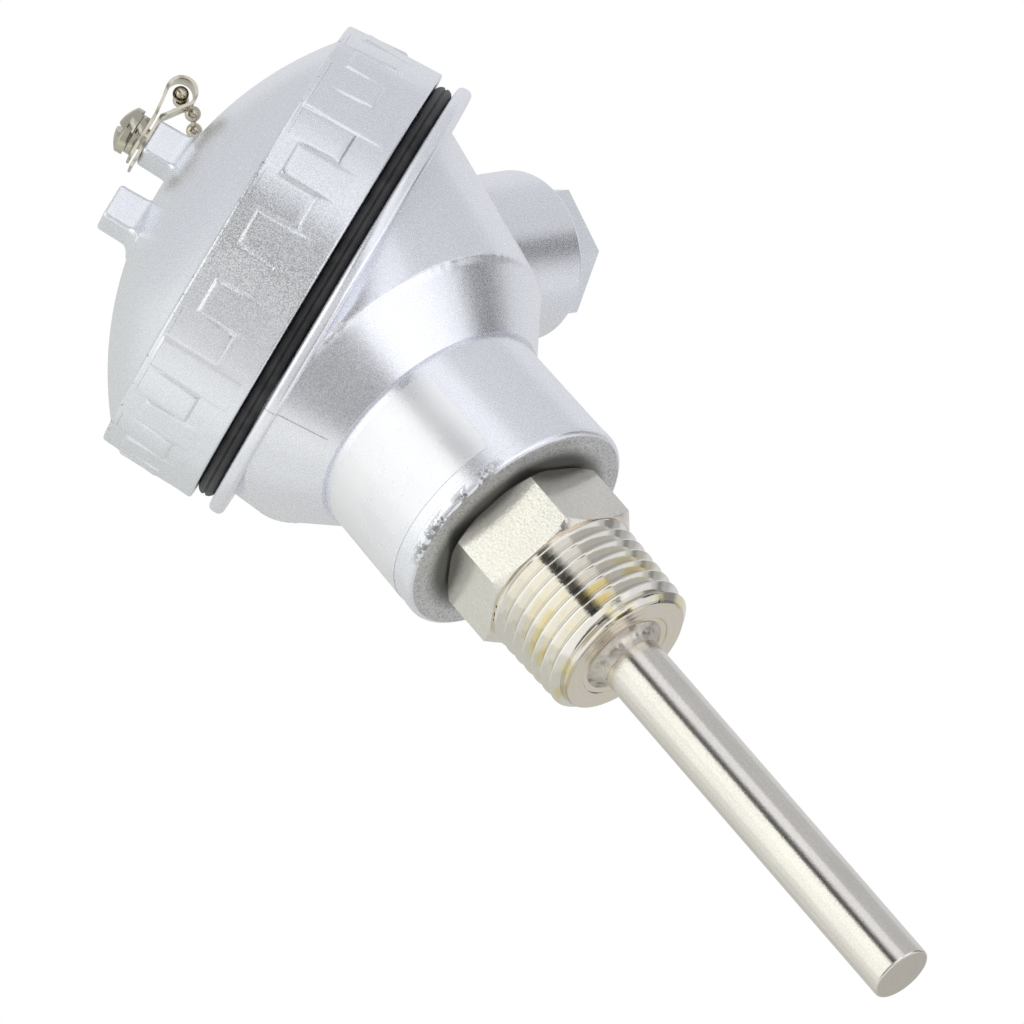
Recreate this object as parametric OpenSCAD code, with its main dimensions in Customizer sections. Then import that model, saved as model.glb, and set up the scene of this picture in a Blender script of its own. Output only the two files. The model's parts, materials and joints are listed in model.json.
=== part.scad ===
// Resistance thermometer with a die-cast connection head.
//
// The frame: +Z runs up the probe, away from the process. The origin lies on the probe's axis, in the
// plane where the hexagon of the process fitting meets its taper thread. +X points along the cable entry,
// and the screw cap leans back towards -X. Everything that belongs to the cap is drawn in a second frame,
// whose origin is where the cap's axis crosses the probe's axis and whose +Z is the cap's axis (lid_frame).

/* [Probe sheath] */
// Outer diameter of the sheath
sheath_d = 8; // [6:0.1:10]
// Wall of the sheath
sheath_wall = 0.9; // [0.6:0.1:1.2]
// Length of the sheath below the thread's end face
immersion = 56.6; // [40:0.1:120]
// Rounding of the closed tip
tip_round = 0.8; // [0.3:0.1:1.2]
// How far the weld bead spreads over the end face
weld_leg = 2.1; // [1:0.1:3]

/* [Process fitting] */
// Mean outside diameter of the taper thread
thread_d = 20.9; // [19:0.1:23]
// Length of the taper thread
thread_len = 13.7; // [11:0.1:18]
// Chamfer at the thread's free end
thread_chamfer = 0.9; // [0.5:0.1:1.5]
// Width of the hexagon across its flats
hex_af = 21; // [20:0.1:24]
// Height of the hexagon
hex_h = 8.9; // [6:0.1:12]
// Turn of the hexagon about the probe's axis
hex_turn = 4; // [0:1:60]
// Outside diameter of the spigot that screws into the head
spigot_d = 19.8; // [18:0.1:20.5]
// Length of the spigot
spigot_len = 11; // [8:0.5:14]

/* [Head neck and shoulder] */
// Diameter of the neck at its lower end
neck_d_low = 32.8; // [30:0.1:36]
// Diameter of the neck at its upper end
neck_d_top = 32.1; // [30:0.1:36]
// Height of the neck
neck_h = 18.3; // [16:0.1:22]
// Rounding of the neck's lower edge
neck_round = 1.5; // [0.5:0.1:2]
// Diameter where the shoulder starts, just above the neck
shoulder_d_low = 33.3; // [32.8:0.1:36]
// Diameter of the shoulder's crest
crest_d = 45.6; // [42:0.1:50]
// Height of the shoulder
shoulder_h = 7.9; // [6:0.1:10]

/* [Lid plane] */
// Height at which the cap's axis crosses the probe's axis
lid_z = 56.8; // [55:0.1:62]
// Lean of the cap's axis away from the cable entry
lid_tilt = 31.7; // [26:0.1:34]
// Thickness of the housing's wall
wall = 2.6; // [2:0.1:3.2]
// Diameter of the housing's flange
flange_d = 62; // [59:0.1:64]
// Thickness of the housing's flange
flange_t = 2; // [1.8:0.1:3]
// Diameter of the bowl just below the flange
bowl_d = 53; // [50:0.5:55]
// How far the bowl's centre lies towards the lid's low side
bowl_shift = 2; // [0:0.1:2.4]
// How far the flange reaches out past the collar that carries the cap's thread
flange_land = 5; // [4:0.1:6]
// Height of the collar above the flange
collar_h = 8.5; // [6:0.5:10]

/* [Screw cap] */
// How much narrower the rim is at its upper edge than at the flange
rim_taper = 1.4; // [0.5:0.1:3]
// Height of the rim
rim_h = 13.3; // [11:0.1:16]
// Width of the ledge between the rim and the dome
ledge = 2.2; // [1.5:0.1:3]
// Height of the dome above the ledge
dome_h = 10; // [8:0.1:14]
// Thickness of the cap's wall
cap_wall = 2.3; // [1.8:0.1:3]
// Gap between the cap's thread and the collar's, on the radius
cap_play = 0.3; // [0.2:0.05:0.5]
// Number of grip columns round the rim
grip_columns = 38; // [30:2:46]
// Height by which the grip pads stand proud
grip_relief = 0.3; // [0.15:0.05:0.5]
// Side of each square spanner lug
lug_side = 5; // [4:0.1:6]
// Distance between the lugs' centres
lug_pitch = 10.4; // [9:0.1:14]
// Height of the lugs above the top of the dome
lug_h = 4.3; // [3:0.1:6]
// Direction of the line of lugs about the cap's axis
lug_turn = -34; // [-90:1:90]

/* [Gasket] */
// Thickness of the gasket
gasket_t = 2.4; // [1.6:0.1:3]
// How far the gasket's edge stands back from the flange's
gasket_inset = 1.2; // [0.5:0.1:2.5]

/* [Cable entry] */
// Height of the cable entry's axis
boss_z = 53.8; // [51:0.1:55]
// Outside diameter of the cable entry
boss_d = 22; // [20:0.1:23]
// Distance from the probe's axis to the entry's end face
boss_reach = 39.6; // [36:0.1:50]
// Diameter of the entry's tapped hole
entry_d = 16.2; // [15:0.1:17]
// Width of the gland screw's hexagon across its flats
gland_af = 15.8; // [14:0.1:17]
// Height of the gland screw's hexagon
gland_hex_h = 4.9; // [2.5:0.1:6]
// Diameter of the cable hole in the gland
cable_d = 9; // [6:0.1:10]

/* [Chain] */
// Diameter of a chain bead
bead_d = 2.1; // [1.6:0.1:2.4]
// Distance between two beads along the chain
bead_pitch = 2.5; // [2.3:0.05:3]
// Width of the strip that holds each end of the chain
strip_w = 3.4; // [2.5:0.1:4.5]
// Thickness of that strip
strip_t = 0.4; // [0.3:0.05:0.6]
// Head diameter of the strip's screw
pan_d = 6.3; // [5:0.1:7]
// Head height of the strip's screw
pan_h = 2.2; // [1.6:0.1:2.6]

/* [Terminals and element] */
// Diameter of the ceramic terminal block
block_d = 32; // [30:0.5:33]
// Thickness of the ceramic terminal block
block_t = 7; // [5:0.5:8]
// Diameter of the temperature element
element_d = 3; // [2:0.1:4]
// Length of the temperature element
element_len = 15; // [10:1:25]
// Diameter of an insulated lead wire
lead_d = 1.1; // [0.8:0.1:1.3]

/* [Hidden] */
$fn = 96;

// clearances
eps = 0.01;
cut = 1;                 // how far a cutting shape overshoots the face it cuts
face_gap = 0.05;         // between flat faces of pieces that move apart
slip_gap = 0.1;          // between a shank and its hole, on the radius
seat_h = 0.3;            // raised seat on the hexagon's upper face, which leaves a fine dark gap round it
seat_drop = 1.2;         // how much smaller than the flats that seat is
tube_relief = 0.2;       // the sheath is turned down by this much inside the fitting, on the radius
tube_relief_z = 0.2;     // and from this far below the weld

// levels along the probe
thread_z = -thread_len;
tip_z = thread_z - immersion;
neck_z = hex_h + seat_h;
shoulder_z = neck_z + neck_h;
crest_z = shoulder_z + shoulder_h;
spigot_top = neck_z + spigot_len;
sheath_r = sheath_d / 2;
sheath_bore_r = sheath_r - sheath_wall;
sheath_drop = 3;         // the sheath ends this far below the spigot's top
sheath_top = spigot_top - sheath_drop;
hex_corner_r = hex_af / 2 / cos(30);

// levels along the cap's axis, in the lid frame
rim_z = -3.4;
rim_top = rim_z + rim_h;
flange_top = rim_z - gasket_t - 2 * face_gap;
flange_z = flange_top - flange_t;
collar_top = flange_top + collar_h;
collar_d = flange_d - 2 * flange_land;
gasket_d = flange_d - 2 * gasket_inset;
rim_d_low = flange_d;
rim_d_top = flange_d - rim_taper;
dome_r = rim_d_top / 2 - ledge;
dome_ball = (dome_r * dome_r + dome_h * dome_h) / (2 * dome_h);
dome_c = rim_top + dome_h - dome_ball;
apex = rim_top + dome_h;
lug_top = apex + lug_h;
skirt_r = collar_d / 2 + cap_play;
thread_top = collar_top + 1.5;
lug_hole_d = 3.2;
lug_hole_deep = 5;

// cable entry
entry_deep = 15;
boss_root = crest_d / 2 - 6;   // the entry starts inside the bowl's wall
entry_wire_r = 5.5;
grommet_t = 5;
washer_t = 1;
gland_neck_h = 0.4;      // the gland screw's short neck under its hexagon

// terminals
block_z = crest_z + 3.4;
block_top = block_z + block_t;
fix_r = block_d / 2 - 3.5;
fix_hole_d = 3.4;
terminal_r = block_d / 2 - 5.5;
terminal_turns = [180, 40, -40];
terminal_side = 6;
terminal_h = 5.5;
terminal_pin_d = 2.8;
terminal_head_d = 5.2;
terminal_head_h = 1.8;
terminal_shank = 1.4;    // length of a terminal screw below its head
block_head_d = 6;
block_head_h = 2.4;
block_shank_d = 3.2;
block_sink = 2.6;        // depth of the pocket for a block screw's head
block_grip = 5;          // how far a block screw reaches into the housing
post_d = 6.4;            // the housing's posts under the block

// probe's inside
filling_z = tip_z + sheath_wall;
element_seat = 2;        // filling below the element
filling_top = filling_z + element_len + 5;
insulator_d = 2 * sheath_bore_r - 0.4;
insulator_top = spigot_top + 2;
lead_ring = 1.55;

module lid_frame() {
    translate([0, 0, lid_z]) rotate([0, -lid_tilt, 0]) children();
}

// a rod along +X that starts at x = 0
module rod_x(d, length) {
    rotate([0, 90, 0]) cylinder(d = d, h = length);
}

// ---------------------------------------------------------------- process fitting and sheath

module process_fitting() {
    color([0.78, 0.75, 0.68])
    difference() {
        union() {
            // the taper thread's blank: its mean diameter, with a chamfered lead
            translate([0, 0, thread_z + thread_chamfer])
                cylinder(d = thread_d, h = thread_len - thread_chamfer);
            translate([0, 0, thread_z])
                cylinder(d1 = thread_d - 2 * thread_chamfer, d2 = thread_d, h = thread_chamfer);
            // the hexagon, its corners turned off at both ends
            intersection() {
                rotate(hex_turn) cylinder(r = hex_corner_r, h = hex_h, $fn = 6);
                rotate_extrude() polygon(hex_outline());
            }
            cylinder(d = hex_af - seat_drop, h = neck_z);
            cylinder(d = spigot_d, h = spigot_top);
        }
        translate([0, 0, thread_z - cut])
            cylinder(r = sheath_r - tube_relief + face_gap, h = spigot_top - thread_z + 2 * cut);
        translate([0, 0, sheath_top]) cylinder(r = sheath_r + 1.6, h = sheath_drop + cut);
    }
}

// half section that turns the hexagon's corners off at 30 degrees
function hex_outline() =
    let (r_end = hex_af / 2 + 0.25, drop = (hex_corner_r - r_end) * tan(30))
    [[0, 0], [r_end, 0], [hex_corner_r + eps, drop], [hex_corner_r + eps, hex_h - drop],
     [r_end, hex_h], [0, hex_h]];

module sheath() {
    relief_z = thread_z - weld_leg - tube_relief_z;
    color([0.8, 0.78, 0.73])
    difference() {
        union() {
            translate([0, 0, tip_z + tip_round]) cylinder(r = sheath_r, h = relief_z - tip_z - tip_round);
            translate([0, 0, relief_z - cut])
                cylinder(r = sheath_r - tube_relief, h = sheath_top - relief_z + cut);
            translate([0, 0, tip_z]) cylinder(r = sheath_r - tip_round, h = tip_round + eps);
            translate([0, 0, tip_z + tip_round]) rotate_extrude()
                translate([sheath_r - tip_round, 0]) circle(r = tip_round);
        }
        translate([0, 0, tip_z + sheath_wall]) cylinder(r = sheath_bore_r, h = spigot_top - tip_z);
    }
}

module sheath_weld() {
    color([0.6, 0.57, 0.52])
    translate([0, 0, thread_z])
    rotate_extrude() {
        inner = sheath_r - tube_relief + 0.02;
        polygon([[inner, -0.02], [inner, -weld_leg], [sheath_r + 0.35, -weld_leg],
            [sheath_r + 0.7, -weld_leg * 0.6], [sheath_r + weld_leg * 0.7, -0.35],
            [sheath_r + weld_leg, -0.02]]);
    }
}

module rtd_element() {
    color([0.93, 0.92, 0.88])
    translate([0, 0, filling_z + element_seat]) cylinder(d = element_d, h = element_len);
}

module tip_filling() {
    color([0.85, 0.84, 0.8])
    translate([0, 0, filling_z + face_gap]) rotate_extrude() {
        out = sheath_bore_r - face_gap;
        hole = element_d / 2 + face_gap;
        square([out, element_seat - 2 * face_gap]);
        translate([hole, 0]) square([out - hole, filling_top - filling_z - 2 * face_gap]);
    }
}

// where a lead wire runs inside the sheath
function lead_place(i) = [lead_ring * cos(terminal_turns[i]), lead_ring * sin(terminal_turns[i])];

module lead_insulator() {
    color([0.95, 0.94, 0.9])
    difference() {
        translate([0, 0, filling_top + face_gap])
            cylinder(d = insulator_d, h = insulator_top - filling_top - face_gap);
        for (i = [0:2]) translate([lead_place(i).x, lead_place(i).y, filling_top - cut])
            cylinder(d = lead_d + 0.2, h = insulator_top - filling_top + 2 * cut, $fn = 24);
    }
}

// ---------------------------------------------------------------- lead wires

// a tube of eight sides swept along points; ref is a direction that the line never takes
module wire(points, d, ref) {
    sides = 8;
    last = len(points) - 1;
    rings = [for (i = [0:last])
        let (t = points[min(i + 1, last)] - points[max(i - 1, 0)], w = t / norm(t),
             u0 = cross(ref, w), u = u0 / norm(u0), v = cross(w, u))
        [for (k = [0:sides - 1], a = 360 * k / sides) points[i] + d / 2 * (cos(a) * u + sin(a) * v)]];
    start_cap = [for (k = [sides - 1:-1:0]) k];
    end_cap = [for (k = [0:sides - 1]) last * sides + k];
    walls = [for (i = [0:last - 1]) for (k = [0:sides - 1])
        let (next = (k + 1) % sides)
        [i * sides + k, i * sides + next, (i + 1) * sides + next, (i + 1) * sides + k]];
    polyhedron(points = [for (ring = rings) each ring], faces = concat([start_cap], walls, [end_cap]));
}

// straight up out of the element, then out over the block's top to its terminal
function lead_route(i) =
    let (p = lead_place(i), a = terminal_turns[i], rise = block_top + 2.4,
         out = terminal_r - terminal_side / 2 - 0.1)
    [[p.x, p.y, filling_top + 0.3], [p.x, p.y, insulator_top], [p.x, p.y, block_top],
     [p.x + 0.3 * cos(a), p.y + 0.3 * sin(a), rise - 1],
     [p.x + 1.1 * cos(a), p.y + 1.1 * sin(a), rise - 0.25],
     [p.x + 2.2 * cos(a), p.y + 2.2 * sin(a), rise], [out * cos(a), out * sin(a), rise]];

module lead_wire(i) {
    a = terminal_turns[i];
    color([[0.75, 0.1, 0.1], [0.75, 0.1, 0.1], [0.92, 0.92, 0.9]][i])
        wire(lead_route(i), lead_d, [-sin(a), cos(a), 0]);
}

// ---------------------------------------------------------------- housing

// half section of the neck and shoulder, the neck's lower edge rounded
module neck_outline() {
    polygon([
        [0, neck_z], [neck_d_low / 2 - neck_round, neck_z], [neck_d_low / 2, neck_z + neck_round],
        [neck_d_top / 2, shoulder_z], [shoulder_d_low / 2, shoulder_z + 0.5],
        [crest_d / 2 - 0.1, crest_z - 0.25], [0, crest_z - 0.25]]);
    translate([neck_d_low / 2 - neck_round, neck_z + neck_round]) intersection() {
        circle(r = neck_round);
        translate([-eps, -neck_round]) square([neck_round + eps, neck_round]);
    }
}

module housing_outside() {
    rotate_extrude() neck_outline();
    // the bowl runs from the shoulder's round crest to a round under the tilted flange
    hull() {
        translate([0, 0, crest_z - 0.6]) cylinder(d = crest_d, h = 0.6);
        lid_frame() translate([-bowl_shift, 0, flange_z]) cylinder(d = bowl_d, h = 0.6);
    }
    lid_frame() {
        rotate_extrude() translate([0, flange_z]) {
            square([flange_d / 2 - flange_t / 2, flange_t]);
            translate([flange_d / 2 - flange_t / 2, flange_t / 2]) circle(d = flange_t);
        }
        translate([0, 0, flange_z + 1]) cylinder(d = collar_d, h = collar_h + flange_t - 1);
    }
    translate([boss_root, 0, boss_z]) rod_x(boss_d, boss_reach - boss_root);
}

module housing_inside() {
    // the terminal space
    hull() {
        translate([0, 0, crest_z]) cylinder(d = crest_d - 2 * wall, h = 0.4);
        lid_frame() translate([0, 0, flange_z + 1]) cylinder(d = collar_d - 2 * wall - 1, h = 0.4);
    }
    lid_frame() translate([0, 0, flange_z])
        cylinder(d = collar_d - 2 * wall, h = collar_top - flange_z + cut);
    // its floor
    translate([0, 0, shoulder_z + wall])
        cylinder(d1 = shoulder_d_low - 2 * wall - 4, d2 = crest_d - 2 * wall - 1,
            h = shoulder_h - wall + 0.2);
    // the tapped hole for the process fitting
    translate([0, 0, neck_z - cut])
        cylinder(d = spigot_d + 2 * slip_gap, h = shoulder_z - neck_z + wall + 2 * cut);
}

module housing() {
    color([0.8, 0.8, 0.84])
    difference() {
        union() {
            difference() {
                housing_outside();
                housing_inside();
            }
            for (side = [-1, 1]) translate([0, side * fix_r, shoulder_z + wall])
                cylinder(d = post_d, h = block_z - shoulder_z - wall);
            chain_pad();
        }
        // cable entry: tapped outside, a smaller way through to the terminals
        translate([boss_reach - entry_deep, 0, boss_z]) rod_x(entry_d, entry_deep + cut);
        translate([boss_root, 0, boss_z]) rod_x(2 * entry_wire_r, boss_reach);
        for (side = [-1, 1]) translate([0, side * fix_r, block_z - block_grip - 1])
            cylinder(d = fix_hole_d, h = block_grip + 1 + cut);
        chain_pad_hole();
    }
}

// a cast pad on the side of the cable entry, where the chain's lower end is screwed down
pad_x = boss_reach - 8.6;
pad_y = boss_d / 2 + 1.8;
pad_d = 6.6;
pad_hole_deep = 3.4;

module chain_pad() {
    translate([pad_x, entry_d / 2 + 1, boss_z]) rotate([-90, 0, 0])
        cylinder(d = pad_d, h = pad_y - entry_d / 2 - 1);
}

module chain_pad_hole() {
    translate([pad_x, pad_y - pad_hole_deep, boss_z]) rotate([-90, 0, 0])
        cylinder(d = lug_hole_d, h = pad_hole_deep + cut);
}

// the sticker on the neck, a thin film that follows the neck's draft
label_turn = 186;
label_sweep = 78;
label_z = 3.2;
label_h = 12.6;
label_t = 0.12;

function neck_r(z) =
    neck_d_low / 2 + (neck_d_top - neck_d_low) / 2 * (z - neck_z - neck_round) / (neck_h - neck_round);

module label() {
    z0 = neck_z + label_z;
    z1 = z0 + label_h;
    r0 = neck_r(z0) + 0.02;
    r1 = neck_r(z1) + 0.02;
    color([0.97, 0.97, 0.98])
    rotate(label_turn) rotate_extrude(angle = label_sweep)
        polygon([[r0, z0], [r0 + label_t, z0], [r1 + label_t, z1], [r1, z1]]);
}

// ---------------------------------------------------------------- terminals

module terminal_block() {
    color([0.95, 0.94, 0.9])
    difference() {
        union() {
            translate([0, 0, block_z]) cylinder(d = block_d, h = block_t - 1);
            translate([0, 0, block_z]) cylinder(d = block_d - 2, h = block_t);
        }
        translate([0, 0, block_z - cut]) cylinder(d = 8, h = block_t + 2 * cut);
        for (side = [-1, 1]) translate([0, side * fix_r, block_z - cut]) {
            cylinder(d = fix_hole_d + 0.4, h = block_t + 2 * cut);
            translate([0, 0, cut + block_t - block_sink])
                cylinder(d = block_head_d + 0.6, h = block_sink + cut);
        }
        for (a = terminal_turns) rotate(a) translate([terminal_r, 0, block_top - 3])
            cylinder(d = terminal_pin_d + 0.2, h = 3 + cut);
    }
}

module terminal(i) {
    color([0.8, 0.65, 0.3])
    rotate(terminal_turns[i]) translate([terminal_r, 0, block_top])
    difference() {
        union() {
            translate([-terminal_side / 2, -terminal_side / 2, 0])
                cube([terminal_side, terminal_side, terminal_h]);
            translate([0, 0, -2.8]) cylinder(d = terminal_pin_d, h = 3);
        }
        translate([-terminal_side, 0, 2.4]) rod_x(lead_d * 2, 2 * terminal_side);
        translate([0, 0, 3]) cylinder(d = terminal_pin_d + 0.4, h = terminal_h);
    }
}

// a pan-head screw, head underside at z = 0, with a driving slot
module pan_screw(head_d, head_h, shank_d, length) {
    difference() {
        union() {
            intersection() {
                cylinder(d = head_d, h = head_h);
                translate([0, 0, head_h - head_d * 0.75]) sphere(r = head_d * 0.75);
            }
            translate([0, 0, -length]) cylinder(d = shank_d, h = length + eps, $fn = 48);
        }
        translate([-head_d, -0.4, head_h - 0.9]) cube([2 * head_d, 0.8, 2]);
    }
}

module terminal_screws() {
    color([0.8, 0.78, 0.72])
    for (a = terminal_turns) rotate(a) translate([terminal_r, 0, block_top + terminal_h])
        pan_screw(terminal_head_d, terminal_head_h, terminal_pin_d, terminal_shank);
}

module block_screws() {
    color([0.8, 0.78, 0.72])
    for (side = [-1, 1]) translate([0, side * fix_r, block_top - block_sink])
        pan_screw(block_head_d, block_head_h, block_shank_d, block_t - block_sink + block_grip);
}

// ---------------------------------------------------------------- cable gland

gland_seat = boss_reach - entry_deep;

module gland_grommet() {
    color([0.12, 0.12, 0.13])
    translate([gland_seat + face_gap, 0, boss_z]) difference() {
        rod_x(entry_d - 0.4, grommet_t);
        translate([-cut, 0, 0]) rod_x(cable_d, grommet_t + 2 * cut);
    }
}

washer_x = gland_seat + grommet_t + 2 * face_gap;
screw_x = washer_x + washer_t + face_gap;

module gland_washer() {
    color([0.8, 0.78, 0.72])
    translate([washer_x, 0, boss_z]) difference() {
        rod_x(entry_d - 0.6, washer_t);
        translate([-cut, 0, 0]) rod_x(cable_d + 0.4, washer_t + 2 * cut);
    }
}

module gland_screw() {
    color([0.8, 0.8, 0.84])
    translate([screw_x, 0, boss_z]) difference() {
        union() {
            rod_x(entry_d - 2 * slip_gap, boss_reach - screw_x);
            translate([boss_reach - screw_x - eps, 0, 0]) rod_x(gland_af - 0.6, gland_neck_h);
            translate([boss_reach - screw_x + face_gap, 0, 0]) rotate([0, 90, 0])
                rotate(30) cylinder(r = gland_af / 2 / cos(30), h = gland_hex_h, $fn = 6);
        }
        translate([-cut, 0, 0]) rod_x(cable_d, boss_reach - screw_x + gland_hex_h + 2 * cut);
    }
}

// ---------------------------------------------------------------- gasket and cap

module gasket() {
    color([0.05, 0.05, 0.055])
    lid_frame() rotate_extrude() translate([0, flange_top + face_gap]) {
        inner = collar_d / 2 + 0.2;
        bulge = gasket_t / 2;
        translate([inner, 0]) square([gasket_d / 2 - bulge - inner, gasket_t]);
        translate([gasket_d / 2 - bulge, bulge]) circle(r = bulge);
    }
}

function rim_r(z) = (rim_d_low + (rim_d_top - rim_d_low) * (z - rim_z) / rim_h) / 2;

column = 360 / grip_columns;
pocket_z = rim_top - 0.63 * rim_h;    // pocket pads start flush at the top edge and end in a step here
finger_top = rim_top - 0.19 * rim_h;  // finger pads start with a step here
finger_z = rim_top - 0.83 * rim_h;    // and fade into the rim here
bite = 0.6;                           // how far each pad is rooted in the rim
fade = 0.05;                          // depth under the rim's face at which a pad's faded end lies
pad_groove = 0.3;                     // fine groove between two pads, in degrees

// one pad of the rim's grip, which stands proud of the rim by rise0 at z0 and by rise1 at z1
module pad(turn, z0, rise0, z1, rise1) {
    rotate(turn - column / 2 + pad_groove / 2) rotate_extrude(angle = column - pad_groove)
        polygon([[rim_r(z0) - bite, z0], [rim_r(z0) + rise0, z0],
            [rim_r(z1) + rise1, z1], [rim_r(z1) - bite, z1]]);
}

// the two halves of the die met along a square wave round the rim: pocket pads were shaped by the upper
// one and finger pads by the lower one, and every fourth finger was left plain
module grip() {
    pairs = grip_columns / 2;
    for (j = [-floor((pairs - 1) / 2):floor(pairs / 2)]) {
        pad(180 + column * (2 * j + 1), pocket_z, grip_relief, rim_top - 0.4, -fade);
        if (j % 4 != 0) pad(180 + column * 2 * j, finger_z, -fade, finger_top, grip_relief);
    }
}

module cap() {
    color([0.8, 0.8, 0.84])
    lid_frame() difference() {
        union() {
            translate([0, 0, rim_z]) cylinder(d1 = rim_d_low, d2 = rim_d_top, h = rim_h);
            intersection() {
                translate([0, 0, dome_c]) rotate(lug_turn + 90) sphere(r = dome_ball, $fn = 128);
                translate([0, 0, rim_top - 1]) cylinder(r = dome_r, h = dome_h + 2);
            }
            grip();
            for (side = [-1, 1]) rotate(lug_turn) translate([side * lug_pitch / 2, 0, apex - 2])
                translate([-lug_side / 2, -lug_side / 2, 0]) cube([lug_side, lug_side, lug_h + 2]);
        }
        translate([0, 0, rim_z - cut]) cylinder(r = skirt_r, h = thread_top - rim_z + cut);
        intersection() {
            translate([0, 0, dome_c]) sphere(r = dome_ball - cap_wall, $fn = 128);
            translate([0, 0, thread_top - eps]) cylinder(r = skirt_r - 1.2, h = apex);
        }
        rotate(lug_turn) translate([lug_pitch / 2, 0, lug_top - lug_hole_deep])
            cylinder(d = lug_hole_d, h = lug_hole_deep + cut);
    }
}

// ---------------------------------------------------------------- chain

loop_r = 2.1;
loop_out = 7.5;       // from the screw to the loop's centre
loop_drop = 0.4;      // the loop's centre lies this far below the strip's underside
loop_open = [115, 220];   // the loop is open towards the screw between these directions
layer_gap = 0.35;     // between the strip's two ends under the screw
layer_z = strip_t + layer_gap;
bend_x = 3.4;         // where the two ends leave each other
tail_low = -4.1;      // where the inner and the outer end stop behind the screw
tail_high = -3.2;
strip_screw_d = 3;

// a bent strip whose two ends lie under one screw, sprung apart into a loop that traps the last bead
module strip() {
    upper = loop_point(loop_open[0]);
    lower = loop_point(loop_open[1]);
    difference() {
        translate([0, strip_w / 2, 0]) rotate([90, 0, 0]) linear_extrude(height = strip_w) {
            bar([tail_low, strip_t / 2], [bend_x, strip_t / 2]);
            bar([bend_x, strip_t / 2], lower);
            bar([tail_high, layer_z + strip_t / 2], [bend_x, layer_z + strip_t / 2]);
            bar([bend_x, layer_z + strip_t / 2], upper);
            translate([loop_out, -loop_drop]) difference() {
                circle(r = loop_r, $fn = 48);
                circle(r = loop_r - strip_t, $fn = 48);
                polygon([[0, 0], 2 * loop_r * [cos(loop_open[0]), sin(loop_open[0])], [-3 * loop_r, 0],
                    2 * loop_r * [cos(loop_open[1]), sin(loop_open[1])]]);
            }
        }
        translate([0, 0, -cut]) cylinder(d = lug_hole_d, h = layer_z + strip_t + 2 * cut, $fn = 48);
    }
}

// a point on the middle line of the loop
function loop_point(a) = [loop_out, -loop_drop] + (loop_r - strip_t / 2) * [cos(a), sin(a)];

// a straight length of strip between two points of its side view, its ends rounded
module bar(from, to) {
    run = to - from;
    translate(from) rotate(atan2(run.y, run.x)) translate([0, -strip_t / 2]) square([norm(run), strip_t]);
    for (end = [from, to]) translate(end) circle(d = strip_t, $fn = 24);
}

strip_turn_cap = -44;
strip_turn_pad = -100;
washer_z = layer_z + strip_t + face_gap;
spring_washer_t = 0.9;
strip_screw_z = washer_z + spring_washer_t + face_gap;

module on_lug() {
    lid_frame() rotate(lug_turn) translate([lug_pitch / 2, 0, lug_top + face_gap])
        rotate(-lug_turn) children();
}

module on_pad() {
    translate([pad_x, pad_y + face_gap, boss_z]) rotate([-90, 0, 0]) children();
}

// a split spring washer
module spring_washer() {
    translate([0, 0, washer_z]) difference() {
        cylinder(d = pan_d - 0.9, h = spring_washer_t);
        translate([0, 0, -cut]) cylinder(d = lug_hole_d, h = spring_washer_t + 2 * cut);
        rotate(60) translate([0, -0.2, -cut]) cube([pan_d, 0.4, spring_washer_t + 2 * cut]);
    }
}

module cap_strip() {
    color([0.75, 0.7, 0.58]) on_lug() rotate(strip_turn_cap) strip();
}

module cap_spring_washer() {
    color([0.75, 0.7, 0.58]) on_lug() spring_washer();
}

module cap_strip_screw() {
    color([0.75, 0.7, 0.58]) on_lug() translate([0, 0, strip_screw_z]) rotate(20)
        pan_screw(pan_d, pan_h, strip_screw_d, strip_screw_z + lug_hole_deep - 1.1);
}

module housing_strip() {
    color([0.75, 0.7, 0.58]) on_pad() rotate(strip_turn_pad) strip();
}

module housing_spring_washer() {
    color([0.75, 0.7, 0.58]) on_pad() spring_washer();
}

module housing_strip_screw() {
    color([0.75, 0.7, 0.58]) on_pad() translate([0, 0, strip_screw_z])
        pan_screw(pan_d, pan_h, strip_screw_d, strip_screw_z + pad_hole_deep - 0.5);
}

// a point of the main frame, told in the lid frame
function to_lid(p) = [p.x * cos(lid_tilt) + (p.z - lid_z) * sin(lid_tilt), p.y,
    (p.z - lid_z) * cos(lid_tilt) - p.x * sin(lid_tilt)];

// the middles of the two loops in the lid frame, where the chain's end beads are trapped, and a point
// beside each on the loop's axis, where the chain comes out
loop_side = 2.1;
link_d = 0.7;
link_gap = 0.02;
cap_loop = [lug_pitch / 2 * cos(lug_turn) + loop_out * cos(strip_turn_cap),
    lug_pitch / 2 * sin(lug_turn) + loop_out * sin(strip_turn_cap), lug_top + face_gap - loop_drop];
cap_loop_side = cap_loop + loop_side * [-sin(strip_turn_cap), cos(strip_turn_cap), 0];
pad_loop_main = [pad_x + loop_out * cos(strip_turn_pad), pad_y + face_gap - loop_drop,
    boss_z - loop_out * sin(strip_turn_pad)];
pad_loop = to_lid(pad_loop_main);
pad_loop_side = to_lid(pad_loop_main + loop_side * [sin(strip_turn_pad), 0, cos(strip_turn_pad)]);

// points of the chain's route in the lid frame, told by their turn about the cap's axis and their gap over
// the dome, or their distance from the edge of the rim or flange and their height
function over_dome(turn, r, gap) =
    [r * cos(turn), r * sin(turn), dome_c + sqrt(pow(dome_ball + gap, 2) - r * r)];
function past_rim(turn, gap, z) =
    let (r = (z > rim_z ? rim_r(min(z, rim_top)) : flange_d / 2) + gap) [r * cos(turn), r * sin(turn), z];

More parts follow.
